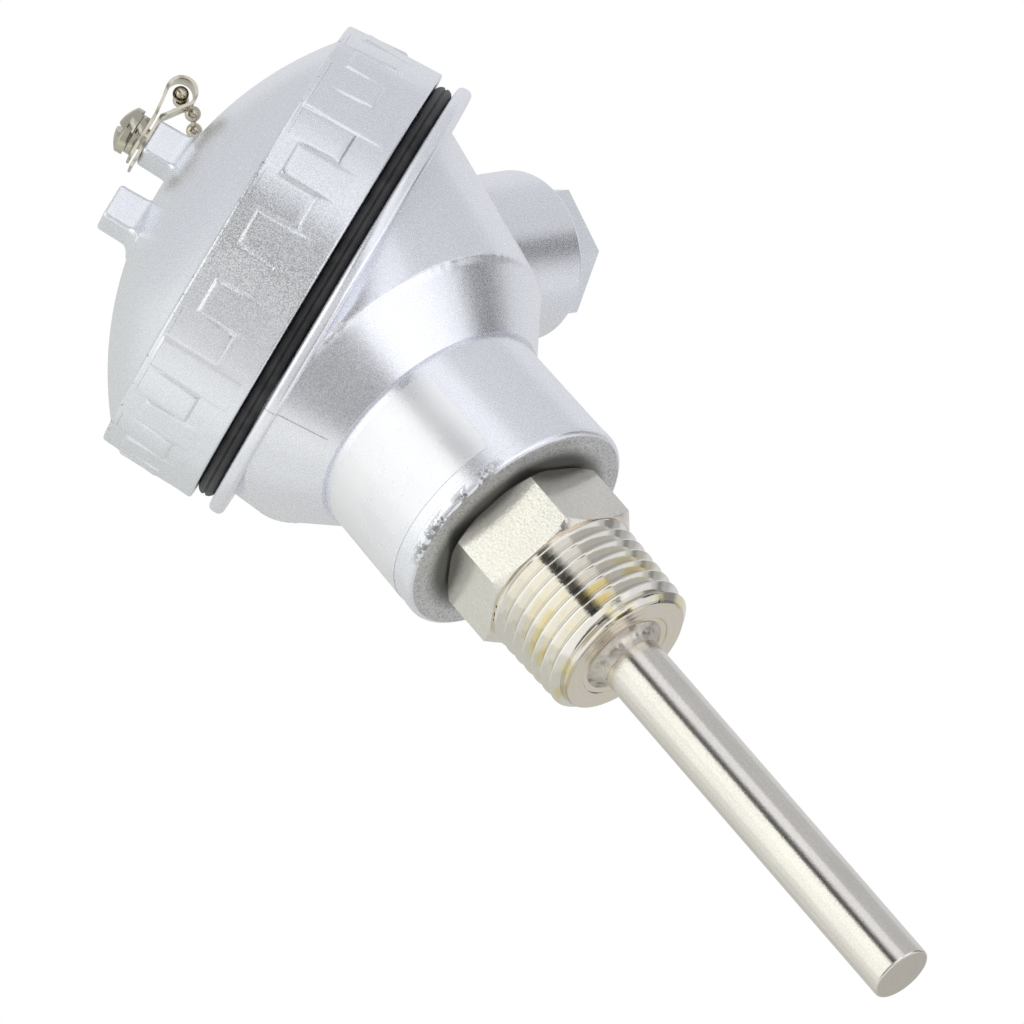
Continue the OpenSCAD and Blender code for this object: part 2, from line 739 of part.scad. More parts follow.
// the chain's route, from one loop over the dome and the rim to the other
chain_route = [
    cap_loop, cap_loop_side,
    over_dome(-24.8, 13.1, 3.7), over_dome(-16.4, 12.7, 2.2), over_dome(4.4, 13, 1.5),
    over_dome(21.2, 16.6, 1.35), over_dome(30.7, 21.5, 1.3), over_dome(35, 26.1, 1.25),
    past_rim(36.9, -0.5, rim_top + 1.2), past_rim(36.9, 2.25, rim_top - 1.9),
    past_rim(36.8, 1.95, rim_z + 4.4), past_rim(36.7, 1.65, flange_top + 0.4),
    past_rim(35.8, 1.3, flange_z - 0.7), pad_loop_side + [-0.25, 4.3, 0.2],
    pad_loop_side, pad_loop];

// points of a smooth curve through the route's points
function spline(p, i, t) =
    let (a = p[max(i - 1, 0)], b = p[i], c = p[i + 1], d = p[min(i + 2, len(p) - 1)])
    0.5 * (2 * b + (c - a) * t + (2 * a - 5 * b + 4 * c - d) * t * t + (3 * b - a - 3 * c + d) * t * t * t);
function smooth(p, steps) =
    [for (i = [0:len(p) - 2]) for (s = [0:steps - 1]) spline(p, i, s / steps), p[len(p) - 1]];
// the length along a line of points up to each of them, and the place at a given length along it
function walked(p) =
    [for (i = 0, s = 0; i < len(p); s = s + (i + 1 < len(p) ? norm(p[i + 1] - p[i]) : 0), i = i + 1) s];
function at(p, s, length) =
    let (i = max([for (k = [0:len(p) - 2]) s[k] <= length ? k : 0]),
         f = (length - s[i]) / (s[i + 1] - s[i]))
    p[i] + (p[i + 1] - p[i]) * min(f, 1);

// hollow beads on short dumbbell wires, each free to turn
module bead_chain() {
    line = smooth(chain_route, 8);
    s = walked(line);
    total = s[len(s) - 1];
    beads = floor(total / bead_pitch);
    places = [for (i = [0:beads]) at(line, s, total * i / beads)];
    color([0.75, 0.7, 0.58]) lid_frame() {
        for (p = places) translate(p) sphere(d = bead_d, $fn = 24);
        for (i = [0:beads - 1]) link(places[i], places[i + 1]);
    }
}

// the visible waist of the wire between two beads
module link(from, to) {
    run = to - from;
    start = bead_d / 2 + link_gap;
    translate(from) rotate([0, acos(run.z / norm(run)), atan2(run.y, run.x)])
        translate([0, 0, start]) cylinder(d = link_d, h = norm(run) - 2 * start, $fn = 16);
}

// ---------------------------------------------------------------- the nodes

process_fitting();
sheath();
sheath_weld();
rtd_element();
tip_filling();
lead_insulator();
lead_wire(0);  // lead_wire_1
lead_wire(1);  // lead_wire_2
lead_wire(2);  // lead_wire_3
housing();
label();
terminal_block();
terminal(0);  // terminal_1
terminal(1);  // terminal_2
terminal(2);  // terminal_3
terminal_screws();
block_screws();
gland_grommet();
gland_washer();
gland_screw();
gasket();
cap();
cap_strip();
cap_spring_washer();
cap_strip_screw();
bead_chain();
housing_strip();
housing_spring_washer();
housing_strip_screw();
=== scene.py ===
# %% [markdown]
# # A resistance thermometer with a screw-capped head
#
# This lesson dresses a measured CAD model in Blender. The object is a probe for pipes and vessels: a
# stainless tube with a temperature element in its tip, a fitting with a hexagon and a taper thread, and a
# die-cast head that holds the terminals. The head's cap screws down on a black gasket and hangs on a small
# bead chain, so that it isn't lost. The CAD model gives every place and size; what follows adds
# rounded castings, a true helical thread, a weld, chain beads and the finishes.

import json
import math

import bmesh
import bpy
from mathutils import Matrix, Vector


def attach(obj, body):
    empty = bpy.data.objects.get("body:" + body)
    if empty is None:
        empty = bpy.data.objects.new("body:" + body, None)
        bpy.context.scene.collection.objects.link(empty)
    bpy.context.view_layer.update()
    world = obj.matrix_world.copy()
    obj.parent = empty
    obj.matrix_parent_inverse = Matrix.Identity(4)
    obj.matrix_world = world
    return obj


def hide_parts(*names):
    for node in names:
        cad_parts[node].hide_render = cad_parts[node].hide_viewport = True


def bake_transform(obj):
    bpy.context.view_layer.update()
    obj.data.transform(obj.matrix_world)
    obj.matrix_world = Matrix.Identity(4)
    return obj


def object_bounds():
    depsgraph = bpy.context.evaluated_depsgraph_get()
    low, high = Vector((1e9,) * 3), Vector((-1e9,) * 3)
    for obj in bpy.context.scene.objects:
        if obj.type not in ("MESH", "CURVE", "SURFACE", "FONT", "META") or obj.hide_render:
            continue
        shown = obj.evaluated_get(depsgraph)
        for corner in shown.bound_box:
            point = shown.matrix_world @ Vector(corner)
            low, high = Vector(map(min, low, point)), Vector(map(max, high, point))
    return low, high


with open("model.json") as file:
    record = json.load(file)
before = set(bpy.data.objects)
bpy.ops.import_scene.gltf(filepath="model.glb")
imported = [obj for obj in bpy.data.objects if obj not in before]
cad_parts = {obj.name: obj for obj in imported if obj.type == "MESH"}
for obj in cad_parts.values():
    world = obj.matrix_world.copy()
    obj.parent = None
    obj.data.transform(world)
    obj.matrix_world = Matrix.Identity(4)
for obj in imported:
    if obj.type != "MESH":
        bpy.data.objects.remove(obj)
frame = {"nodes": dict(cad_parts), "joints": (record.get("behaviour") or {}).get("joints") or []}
nodes = frame["nodes"]
cad_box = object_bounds()
scene = bpy.context.scene
MM = 0.001
print("CAD nodes:", len(nodes), "- box in mm:", [[round(c / MM, 1) for c in corner] for corner in cad_box])

# %% [markdown]
# ## The cap's own frame
#
# The cap, the gasket and the flange are round about an axis that leans away from the cable entry. Modelling
# them upright and turning them into place afterwards is far simpler than modelling them tilted. The joint
# that unscrews the cap already states that axis, so the frame is read from it and not typed again.

# %% Find the lid frame from the cap's joint
cap_joint = next(j for j in frame["joints"] if j["name"] == "cap_turn")
lid_axis = Vector(cap_joint["axis"]).normalized()
lid_y = Vector((0, 1, 0))
lid_x = lid_y.cross(lid_axis).normalized()
LID = Matrix((
    (lid_x.x, lid_y.x, lid_axis.x, cap_joint["pos_m"][0]),
    (lid_x.y, lid_y.y, lid_axis.y, cap_joint["pos_m"][1]),
    (lid_x.z, lid_y.z, lid_axis.z, cap_joint["pos_m"][2]),
    (0, 0, 0, 1)))
UPRIGHT = Matrix.Identity(4)


def up(z):
    """A move along the upright axis."""
    return Matrix.Translation((0, 0, z))


print("the cap leans by", round(math.degrees(math.acos(lid_axis.z)), 1), "degrees")

# %% [markdown]
# ## Camera
#
# The probe is looked at along a long lens from below and from the low side of the cap, with the camera
# rolled so that the probe runs down to the right. The three angles and the distance are all that is needed.

# %% Place the camera
AZIMUTH, ELEVATION, ROLL = (math.radians(a) for a in (306.389, -25.964, -40.937))
AIM = Vector((-2.9976, -3.4968, 9.2156)) * MM
DISTANCE, LENS = 1.5, 425.634      # metres from the aim, and the focal length in mm
back = Vector((math.sin(AZIMUTH) * math.cos(ELEVATION), -math.cos(AZIMUTH) * math.cos(ELEVATION),
               math.sin(ELEVATION)))
level = Vector((0, 0, 1)).cross(back).normalized()
cam_x = math.cos(ROLL) * level + math.sin(ROLL) * back.cross(level)
cam_y = back.cross(cam_x)

camera = bpy.data.objects.new("camera", bpy.data.cameras.new("camera"))
scene.collection.objects.link(camera)
scene.camera = camera
camera.data.sensor_width = 36
camera.data.lens = LENS
camera.data.clip_start, camera.data.clip_end = 0.05, 20
camera.matrix_world = Matrix((
    (cam_x.x, cam_y.x, back.x, 0), (cam_x.y, cam_y.y, back.y, 0), (cam_x.z, cam_y.z, back.z, 0),
    (0, 0, 0, 1)))
camera.location = AIM + DISTANCE * back
scene.view_settings.view_transform = "Standard"
print("camera at", [round(c, 3) for c in camera.location])

# %% [markdown]
# ## Shader arithmetic
#
# Materials are written as formulas. A `Signal` wraps the output socket of a node and understands + - * /,
# so `1 - mask * 0.3` adds the Math nodes by itself. A `Finish` is one material: its `node` method adds any
# node, `put` joins values to the shader, and everything is measured on the piece in metres.

# %% A value that can be calculated with
class Signal:
    """An output socket that can be calculated with."""

    def __init__(self, finish, socket):
        self.finish, self.socket = finish, socket

    def math(self, operation, first, second):
        return self.finish.node("ShaderNodeMath", {"operation": operation}, first, second)

    def __add__(self, other):
        return self.math("ADD", self, other)

    def __sub__(self, other):
        return self.math("SUBTRACT", self, other)

    def __mul__(self, other):
        return self.math("MULTIPLY", self, other)

    def __truediv__(self, other):
        return self.math("DIVIDE", self, other)

    def __pow__(self, other):
        return self.math("POWER", self, other)

    def __rsub__(self, other):
        return self.math("SUBTRACT", other, self)

    __radd__, __rmul__ = __add__, __mul__

    def clamp(self):
        return self.math("MAXIMUM", self.math("MINIMUM", self, 1), 0)

    def magnitude(self):
        return self.math("ABSOLUTE", self, 0)

    def between(self, low, high):
        """0 below low, 1 above high, smooth between them."""
        return self.finish.node("ShaderNodeMapRange", {"interpolation_type": "SMOOTHSTEP"},
                                self, low, high, 0, 1)

print("signals ready")

# %% A material that is written as a formula
class Finish:
    """A material with one Principled shader."""

    def __init__(self, name):
        self.material = bpy.data.materials.new(name)
        self.material.use_nodes = True
        self.tree = self.material.node_tree
        self.shader = self.tree.nodes["Principled BSDF"]
        self.place = self.node("ShaderNodeTexCoord", {}, out="Object")

    def node(self, kind, settings, *values, out=0, **named):
        """Any node: its settings first, then values or links by place or by name."""
        made = self.tree.nodes.new(kind)
        for key, value in settings.items():
            setattr(made, key, value)
        self.feed(made, list(enumerate(values)) + [(k.replace("_", " "), v) for k, v in named.items()])
        return Signal(self, made.outputs[out])

    def feed(self, made, pairs):
        """Links signals to a node's inputs and sets plain values on them."""
        for key, value in pairs:
            if isinstance(value, Signal):
                self.tree.links.new(value.socket, made.inputs[key])
            else:
                made.inputs[key].default_value = value

    def put(self, **values):
        """Joins values to the shader and hands over the material."""
        self.feed(self.shader, [(k.replace("_", " "), v) for k, v in values.items()])
        return self.material

    def at(self, scale):
        """Object coordinates, so that a pattern comes out stretched."""
        return self.node("ShaderNodeMapping", {"vector_type": "TEXTURE"}, self.place, Scale=scale)

    def noise(self, size, detail=2, place=None):
        """Soft cloudy noise between 0 and 1, whose patches are about size metres wide."""
        return self.node("ShaderNodeTexNoise", {}, Vector=place or self.place, Scale=1 / size, Detail=detail)

    def cells(self, size):
        """Small cells, each of one random colour, about size metres wide."""
        return self.node("ShaderNodeTexVoronoi", {}, Vector=self.place, Scale=1 / size, out="Color")

    def mix(self, share, first, second):
        """From the first colour to the second."""
        made = self.tree.nodes.new("ShaderNodeMix")
        made.data_type = "RGBA"
        for socket, value in ((made.inputs[0], share), (made.inputs[6], first), (made.inputs[7], second)):
            if isinstance(value, Signal):
                self.tree.links.new(value.socket, socket)
            else:
                socket.default_value = (*value, 1) if isinstance(value, tuple) else value
        return Signal(self, made.outputs[2])

    def bump(self, height, depth, normal=None):
        """Height between 0 and 1 stands for depth metres of relief."""
        settings = dict(Height=height, Distance=depth, Strength=1.0)
        if normal is not None:
            settings["Normal"] = normal
        return self.node("ShaderNodeBump", {}, **settings)

    def channel(self, vector, axis):
        """One of a vector's three numbers."""
        return self.node("ShaderNodeSeparateXYZ", {}, vector, out=axis)

print("finishes ready")

# %% [markdown]
# ## Light
#
# A polished tube has hardly a colour of its own: it shows the room. So the room is a white one, with soft
# lamps, and a ring of cards stands round the probe, each with its own brightness. The bright ones give the
# metal its pale bands and the dark ones its streaks. The cards are seen only in reflections. The white of the
# background comes from the Light Path node and not from more light. The floor lies level under the probe's
# tip; from below it is let through, as the camera is under it.

# %% World
AMBIENT = 0.70      # how brightly the room lights the object, where 1 is white

world = bpy.data.worlds.new("studio")
scene.world = world
world.use_nodes = True
wt = world.node_tree
path = wt.nodes.new("ShaderNodeLightPath")
seen = [path.outputs[n] for n in ("Is Camera Ray", "Is Glossy Ray", "Is Transmission Ray")]
total = seen[0]
for socket in seen[1:]:
    adder = wt.nodes.new("ShaderNodeMath")
    adder.operation = "MAXIMUM"
    wt.links.new(total, adder.inputs[0])
    wt.links.new(socket, adder.inputs[1])
    total = adder.outputs[0]
strength = wt.nodes.new("ShaderNodeMapRange")
wt.links.new(total, strength.inputs["Value"])
strength.inputs["To Min"].default_value = AMBIENT
wt.links.new(strength.outputs[0], wt.nodes["Background"].inputs["Strength"])
wt.nodes["Background"].inputs["Color"].default_value = (1, 1, 1, 1)
print("the room lights the object at", AMBIENT)

# %% Floor
FLOOR_SIDE, FLOOR_GAP = 6, 0.0005      # metres


def stage_object(name, bm):
    """A mesh in metres that isn't part of the object."""
    mesh = bpy.data.meshes.new(name)
    bm.to_mesh(mesh)
    bm.free()
    obj = bpy.data.objects.new(name, mesh)
    scene.collection.objects.link(obj)
    return obj


bm = bmesh.new()
bmesh.ops.create_grid(bm, x_segments=1, y_segments=1, size=0.5,
                      matrix=up(cad_box[0].z - FLOOR_GAP) @ Matrix.Scale(FLOOR_SIDE, 4))
floor = stage_object("floor", bm)
floor.visible_glossy = False
paper = Finish("floor_paper")
paper.put(Base_Color=(0.92, 0.92, 0.92, 1), Roughness=0.9)
from_below = paper.node("ShaderNodeNewGeometry", {}, out="Backfacing")
let_through = paper.node("ShaderNodeMixShader", {}, from_below, Signal(paper, paper.shader.outputs[0]),
                         paper.node("ShaderNodeBsdfTransparent", {}))
paper.feed(paper.tree.nodes["Material Output"], [(0, let_through)])
floor.data.materials.append(paper.material)
print("floor at", round(cad_box[0].z - FLOOR_GAP, 4), "m")

# %% Lamps
def lamp(name, side, above, towards, size, power, colour=(1, 1, 1)):
    """A square soft lamp, placed by how far to the camera's side, above and towards it, in metres."""
    light = bpy.data.lights.new(name, "AREA")
    light.shape, light.size, light.energy, light.color = "SQUARE", size, power, colour
    obj = bpy.data.objects.new(name, light)
    scene.collection.objects.link(obj)
    place = AIM + side * cam_x + above * cam_y + towards * back
    obj.matrix_world = Matrix.Translation(place) @ (place - AIM).to_track_quat("Z", "Y").to_matrix().to_4x4()
    obj.visible_glossy = False
    print(name, "at", [round(c, 2) for c in place])


lamp("key_lamp", -0.75, 0.25, 0.55, 0.8, 3.2)
lamp("top_lamp", -0.05, 0.95, 0.15, 0.8, 2.0, (0.97, 0.98, 1.0))
lamp("fill_lamp", 0.7, -0.5, 0.7, 0.8, 1.6, (0.96, 0.97, 1.0))

# %% Cards
# a card's place is told as its turn round the probe from the camera's side, and its height angle
CARD_DISTANCE, CARD_STEPS = 1.15, 24
COOL, WARM, PLAIN = (0.97, 0.98, 1.0), (0.985, 1.0, 0.955), (1.0, 0.985, 0.97)
CARDS = [
    # turn from, to, height angle from, to, brightness, tint
    (-180, -125, -60, 60, 0.62, WARM), (-125, -95, -60, 60, 0.75, WARM), (-95, -72, -60, 60, 0.90, WARM),
    (-72, -38, -2, 60, 1.14, WARM), (-72, -60, -38, -2, 0.78, PLAIN), (-60, -38, -38, -2, 0.60, PLAIN),
    (-38, -1, 0, 60, 1.25, WARM), (-38, -1, -38, 0, 0.64, PLAIN), (-72, 8, -60, -38, 0.18, PLAIN),
    (-1, 14, -6, 60, 0.05, PLAIN), (-1, 14, -38, -6, 0.55, PLAIN), (14, 20, -38, 60, 0.30, COOL),
    (20, 24, -38, 60, 0.75, COOL), (24, 52, 0, 60, 0.99, COOL), (24, 40, -38, 0, 1.17, COOL),
    (40, 52, -38, 0, 0.78, COOL), (8, 90, -60, -38, 1.42, COOL), (52, 90, -38, -12, 1.02, COOL),
    (52, 120, -12, 60, 0.60, COOL), (120, 180, -12, 60, 0.76, COOL), (90, 94, -38, -12, 0.6, COOL),
    (94, 116, -32, -12, 0.05, PLAIN), (116, 142, -32, -12, 0.28, PLAIN), (94, 150, -38, -32, 0.6, COOL),
    (142, 150, -32, -12, 0.5, COOL), (90, 150, -58, -38, 0.88, COOL), (150, 180, -58, -38, 0.70, COOL),
    (150, 180, -38, -12, 0.64, COOL), (100, 136, -77, -65, 0.08, PLAIN), (112, 190, -88, -79, 0.05, PLAIN),
]
CEILING_R, CEILING_BRIGHT = 1.17, 0.58
camera_turn = math.atan2(back.y, back.x)


def hang_card(name, bm, bright, tint):
    """Makes a glowing card that only reflections see."""
    card = stage_object(name, bm)
    card.visible_camera = card.visible_diffuse = card.visible_shadow = card.visible_transmission = False
    glow = Finish(name)
    emission = glow.node("ShaderNodeEmission", {}, Color=(*tint, 1), Strength=bright)
    glow.feed(glow.tree.nodes["Material Output"], [(0, emission)])
    card.data.materials.append(glow.material)


def card_height(angle):
    return CARD_DISTANCE * math.tan(math.radians(angle))


for number, (turn_a, turn_b, low, high, bright, tint) in enumerate(CARDS):
    bm = bmesh.new()
    foot, top = (bm.verts.new((CARD_DISTANCE, 0, card_height(angle))) for angle in (low, high))
    side = bm.edges.new((foot, top))
    bmesh.ops.rotate(bm, verts=bm.verts, matrix=Matrix.Rotation(camera_turn + math.radians(turn_a), 3, "Z"))
    bmesh.ops.spin(bm, geom=[foot, top, side], axis=(0, 0, 1), cent=(0, 0, 0),
                   angle=math.radians(turn_b - turn_a), steps=CARD_STEPS)
    hang_card(f"card_{number}", bm, bright, tint)
bm = bmesh.new()
bmesh.ops.create_circle(bm, cap_ends=True, segments=48, radius=CEILING_R,
                        matrix=up(card_height(60)))
hang_card("ceiling_card", bm, CEILING_BRIGHT, COOL)
print(len(CARDS) + 1, "cards placed")

# %% [markdown]
# ## Turning shapes
#
# Most of this object was turned or cast round an axis. Such a piece is one half section, spun a full turn.
# The section is a chain of points in millimetres, some with a rounding; each rounded corner is a vertex
# bevel on the chain, before it is spun.

# %% Half sections and simple solids
def arc(centre, radius, start, stop, count):
    """Points on an arc in the half section's plane, angles in degrees from the outward direction."""
    return [(centre[0] + radius * math.cos(math.radians(start + (stop - start) * i / count)),
             centre[1] + radius * math.sin(math.radians(start + (stop - start) * i / count)))
            for i in range(count + 1)]


def lathe(outline, steps=128, closed=False):
    """Spins a half section of (radius, height) or (radius, height, rounding) points into a solid."""
    bm = bmesh.new()
    chain = [bm.verts.new((p[0], 0, p[1])) for p in outline]
    pairs = list(zip(chain, chain[1:])) + ([(chain[-1], chain[0])] if closed else [])
    for pair in pairs:
        bm.edges.new(pair)
    for vert, point in zip(chain, outline):
        if len(point) > 2:
            bmesh.ops.bevel(bm, geom=[vert], offset=point[2], offset_type="OFFSET", segments=5,
                            profile=0.5, affect="VERTICES", material=-1)
    bmesh.ops.spin(bm, geom=bm.verts[:] + bm.edges[:], axis=(0, 0, 1), cent=(0, 0, 0), steps=steps,
                   angle=math.tau, use_merge=True)
    bmesh.ops.remove_doubles(bm, verts=bm.verts, dist=1e-4)
    bmesh.ops.recalc_face_normals(bm, faces=bm.faces)
    bm.normal_update()
    return bm


def add_mesh(whole, bm):
    """Adds one mesh to another and frees it."""
    mesh = bpy.data.meshes.new("part")
    bm.to_mesh(mesh)
    bm.free()
    whole.from_mesh(mesh)
    bpy.data.meshes.remove(mesh)


def cylinder(radius, height, matrix=UPRIGHT, steps=64, radius_top=None):
    """A closed cylinder or cone that stands on its own origin."""
    bm = bmesh.new()
    bmesh.ops.create_cone(bm, cap_ends=True, segments=steps, radius1=radius,
                          radius2=radius if radius_top is None else radius_top, depth=height,
                          matrix=up(height / 2))
    bmesh.ops.transform(bm, matrix=matrix, verts=bm.verts)
    return bm


print("an arc from 0 to 90 degrees in 2 steps:", [[round(c, 2) for c in p] for p in arc((0, 0), 1, 0, 90, 2)])

# %% Objects and solid arithmetic
def as_object(name, bm, matrix=UPRIGHT):
    """A mesh in millimetres becomes an object in metres, in the shared frame."""
    bmesh.ops.transform(bm, matrix=matrix @ Matrix.Scale(MM, 4), verts=bm.verts)
    mesh = bpy.data.meshes.new(name)
    bm.to_mesh(mesh)
    bm.free()
    obj = bpy.data.objects.new(name, mesh)
    scene.collection.objects.link(obj)
    return obj


def apply_modifiers(obj):
    """Makes what the modifiers show the object's own mesh."""
    bpy.context.view_layer.update()
    evaluated = obj.evaluated_get(bpy.context.evaluated_depsgraph_get())
    mesh = bpy.data.meshes.new_from_object(evaluated)
    obj.modifiers.clear()
    old, obj.data = obj.data, mesh
    mesh.name = old.name
    bpy.data.meshes.remove(old)


def carve(obj, operation, *tools):
    """Adds, cuts or intersects solids with an object, and uses the tools up."""
    for tool in tools:
        modifier = obj.modifiers.new("carve", "BOOLEAN")
        modifier.operation, modifier.object, modifier.solver = operation, tool, "EXACT"
    apply_modifiers(obj)
    for tool in tools:
        bpy.data.objects.remove(tool)


def from_cad(node, name):
    """A copy of a CAD node as one clean mesh: doubles merged, flat faces joined."""
    bm = bmesh.new()
    bm.from_mesh(nodes[node].data)
    bmesh.ops.remove_doubles(bm, verts=bm.verts, dist=1e-6)
    bmesh.ops.dissolve_limit(bm, angle_limit=math.radians(0.4), verts=bm.verts, edges=bm.edges)
    bmesh.ops.scale(bm, vec=(1 / MM,) * 3, verts=bm.verts)
    return as_object(name, bm)

print("solids can be joined, cut and copied from CAD")

# %% Edges, shading and the hand-over of a piece
def smooth(obj, angle=30):
    """Smooth shading, with a crease wherever faces meet at more than the angle."""
    obj.data.shade_smooth()
    obj.data.set_sharp_from_angle(angle=math.radians(angle))
    weigh = obj.modifiers.new("weigh", "WEIGHTED_NORMAL")
    weigh.keep_sharp, weigh.weight = True, 60
    apply_modifiers(obj)


def soften(obj, width, angle=30, segments=2):
    """Rounds every edge that is sharper than the angle, by width millimetres."""
    modifier = obj.modifiers.new("soften", "BEVEL")
    modifier.width, modifier.segments, modifier.limit_method = width * MM, segments, "ANGLE"
    modifier.angle_limit = math.radians(angle)
    apply_modifiers(obj)


def finish_piece(obj, material, body, slot, *replaced, angle=30):
    """Gives a piece its material, its body and the CAD nodes that it stands for. Its slot argument is not used.
    """
    smooth(obj, angle)
    obj.data.materials.clear()
    obj.data.materials.append(material)
    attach(obj, body)
    if replaced:
        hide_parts(*replaced)
    print(f"{obj.name}: {sum(len(p.vertices) - 2 for p in obj.data.polygons)} triangles")

print("pieces can be finished")

# %% [markdown]
# ## Finishes
#
# The head and its cap are zinc or aluminium castings under a silver paint. The paint's flakes are tiny
# mirrors that lie nearly flat, so it is part metal and part lacquer, with a fine grain that sparkles.

# %% Silver head paint
def silver_paint(name, base, extra=None):
    """Metal flakes under a thin lacquer, with a faint orange peel, and, as extra, the wear of its piece and any
    painted reflection on it.
    """
    f = Finish(name)
    flake = f.channel(f.cells(0.16 * MM), "X")
    patch = f.noise(0.45 * MM, detail=2)
    peel = f.noise(1.6 * MM, detail=1)
    sparkle = (flake * 0.65 + patch * 0.35).between(0.15, 0.85)
    colour = f.mix(sparkle, tuple(c * 0.96 for c in base), tuple(min(1, c * 1.03) for c in base))
    relief = f.bump(flake * 0.6 + patch * 0.4, 3.5e-6, f.bump(peel, 10e-6))
    if extra:
        colour, relief = extra(f, colour, relief)
    return f.put(Base_Color=colour, Metallic=0.76, Roughness=flake * 0.06 + 0.24, Normal=relief,
                 Coat_Weight=0.10, Coat_Roughness=0.25)


gland_paint = silver_paint("gland_paint", (0.85, 0.87, 0.93))
print("plain paint on the gland")

# %% Wear and a painted dark reflection on the cap's rim, and wear on the neck
def worn_rim_and_painted_reflection(f, colour, relief):
    """Grit on the whole rim, a painted dark reflection where it faces the camera, and chips along its upper
    edge.
    """
    away = f.node("ShaderNodeVectorMath", {"operation": "SUBTRACT"}, f.place, tuple(LID.translation))
    side, front, height = (f.node("ShaderNodeVectorMath", {"operation": "DOT_PRODUCT"}, away, tuple(axis), out=1)
                           for axis in (lid_x, lid_y, lid_axis))
    on_rim = ((side * side + front * front) ** 0.5).between(28.6 * MM, 29.8 * MM)
    middle = (1 - ((front + 15.5 * MM) / (13 * MM)).magnitude()).clamp() * on_rim
    grit_and_shade_grain = f.noise(0.2 * MM, detail=2)
    chips = f.noise(1.1 * MM, detail=3).between(0.62, 0.66) * height.between(9.2 * MM, 9.8 * MM) * on_rim
    # painted dark reflection: the rim is darkened in grainy patches on its side that faces the camera
    colour = f.mix(middle * grit_and_shade_grain.between(0.44, 0.58) * 0.75, colour, (0.40, 0.40, 0.39))
    colour = f.mix(chips * 0.8, colour, (0.22, 0.22, 0.21))
    return colour, f.bump(grit_and_shade_grain * on_rim * 0.3 + grit_and_shade_grain * middle - chips * 2, 18e-6, relief)


def cast_seam(f, colour, relief):
    """A fine seam where the die's halves met, and chips along the neck's lower edge."""
    x, y, z = (f.channel(f.place, axis) for axis in "XYZ")
    in_front = x.between(-2 * MM, -4 * MM) * z.between(28.5 * MM, 29 * MM)
    seam = (1 - (y / (0.11 * MM)).magnitude()).clamp() * in_front
    flecks = f.noise(0.6 * MM, detail=4).between(0.44, 0.51) * f.noise(2.8 * MM, detail=1).between(0.36, 0.44)
    edge = (1 - ((z - 9.3 * MM) / (1.3 * MM)).magnitude()).clamp() ** 0.5
    chips = flecks * edge * x.between(-9.5 * MM, -12.5 * MM) * y.between(5 * MM, 1 * MM)
    colour = f.mix(seam * 0.45, f.mix(chips * 0.85, colour, (0.20, 0.20, 0.19)), (0.35, 0.35, 0.36))
    return colour, f.bump(seam * 0.5 - chips, 80e-6, relief)


head_paint = silver_paint("head_paint", (0.87, 0.88, 0.94), cast_seam)
cap_paint = silver_paint("cap_paint", (0.84, 0.86, 0.91), worn_rim_and_painted_reflection)
print("worn paints:", head_paint.name, cap_paint.name)

# %% Bare metal under the neck, with a painted shadow
def bare_casting():
    """The machined end of the neck: dull and grainy, with a painted shadow that darkens it towards the fitting.
    """
    f = Finish("bare_casting")
    grain = f.noise(0.3 * MM, detail=3)
    x, y = (f.channel(f.place, axis) for axis in "XY")
    # painted shadow: next to the hexagon the face is painted nearly black
    outside = ((x * x + y * y) ** 0.5).between(11.8 * MM, 14.2 * MM)
    shade = f.mix(outside, (0.14, 0.14, 0.13), (0.66, 0.66, 0.66))
    return f.put(Base_Color=f.mix(grain.between(0.45, 0.70) * 0.5, shade, (0.12, 0.12, 0.115)),
                 Metallic=0.7, Roughness=grain * 0.15 + 0.35, Normal=f.bump(grain, 20e-6))


bare_metal = bare_casting()
print(bare_metal.name, "ready")

# %% [markdown]
# The fitting and the tube are stainless steel. A lathe leaves fine rings and a drawn tube leaves fine lines
# along its length. Both turn a round highlight into a streak. Old oil leaves a straw tint in the thread, and
# its root is darkened with painted shade.

# %% Stainless steel, nickel, brass
TOOTH, CREST_AT_HEX, TAPER = 1.15, 10.66, 1 / 32      # the thread's depth, its crest at the hexagon, its taper


def steel(name, base, stretch, rough, depth, thread=False, end=None, mottle=0.0, dents=0.0):
    """Metal with fine lines. It may have oil and painted root shade in its thread, turned rings on its end,
    mottling and dents.
    """
    f = Finish(name)
    lines = f.noise(0.5 * MM, detail=3, place=f.at(stretch))
    clouds = f.noise(6 * MM, detail=3)
    shade = f.mix((lines * 0.5 + clouds * 0.5).between(0.25, 0.75), tuple(c * 0.90 for c in base), base)
    roughness = lines * 0.10 + rough
    relief = f.bump(lines, depth)
    if thread:
        x, y, z = (f.channel(f.place, axis) for axis in "XYZ")
        below_crest = (z * TAPER + CREST_AT_HEX * MM - (x * x + y * y) ** 0.5) / (TOOTH * MM)
        drops = f.noise(4.5 * MM, detail=1).between(0.45, 0.62)
        oil = below_crest.between(0.1, 0.6) * drops * z.between(-3 * MM, -10 * MM)
        shade = f.mix(oil * 0.9, shade, (0.84, 0.74, 0.42))
        # painted shade: the thread's root is darkened where the teeth shade it
        shade = f.mix(below_crest.between(0.90, 1.0) * 0.5, shade, (0.36, 0.34, 0.29))
    if dents:
        relief = f.bump(f.noise(2.6 * MM, detail=1), dents, relief)
    if mottle:
        speck = f.noise(0.28 * MM, detail=2)
        shade = f.mix(speck.between(0.35, 0.75) * mottle, shade, tuple(c * 0.72 for c in base))
        relief = f.bump(speck, 8e-6, relief)
    if end:
        wave = f.node("ShaderNodeTexWave", {"wave_type": "RINGS", "rings_direction": "Z"}, f.place,
                      Scale=300, Distortion=1.2, Detail=1.0, Detail_Scale=0.4, out=1)
        on_end = (f.channel(f.node("ShaderNodeNewGeometry", {}, out="Normal"), "Z") * -1).between(0.9, 0.98)
        relief = f.bump(wave * on_end, 30e-6, relief)
        shade = f.mix(on_end * 0.8, shade, end)
        roughness = roughness + on_end * 0.12
    return f.put(Base_Color=shade, Metallic=1.0, Roughness=roughness, Normal=relief)


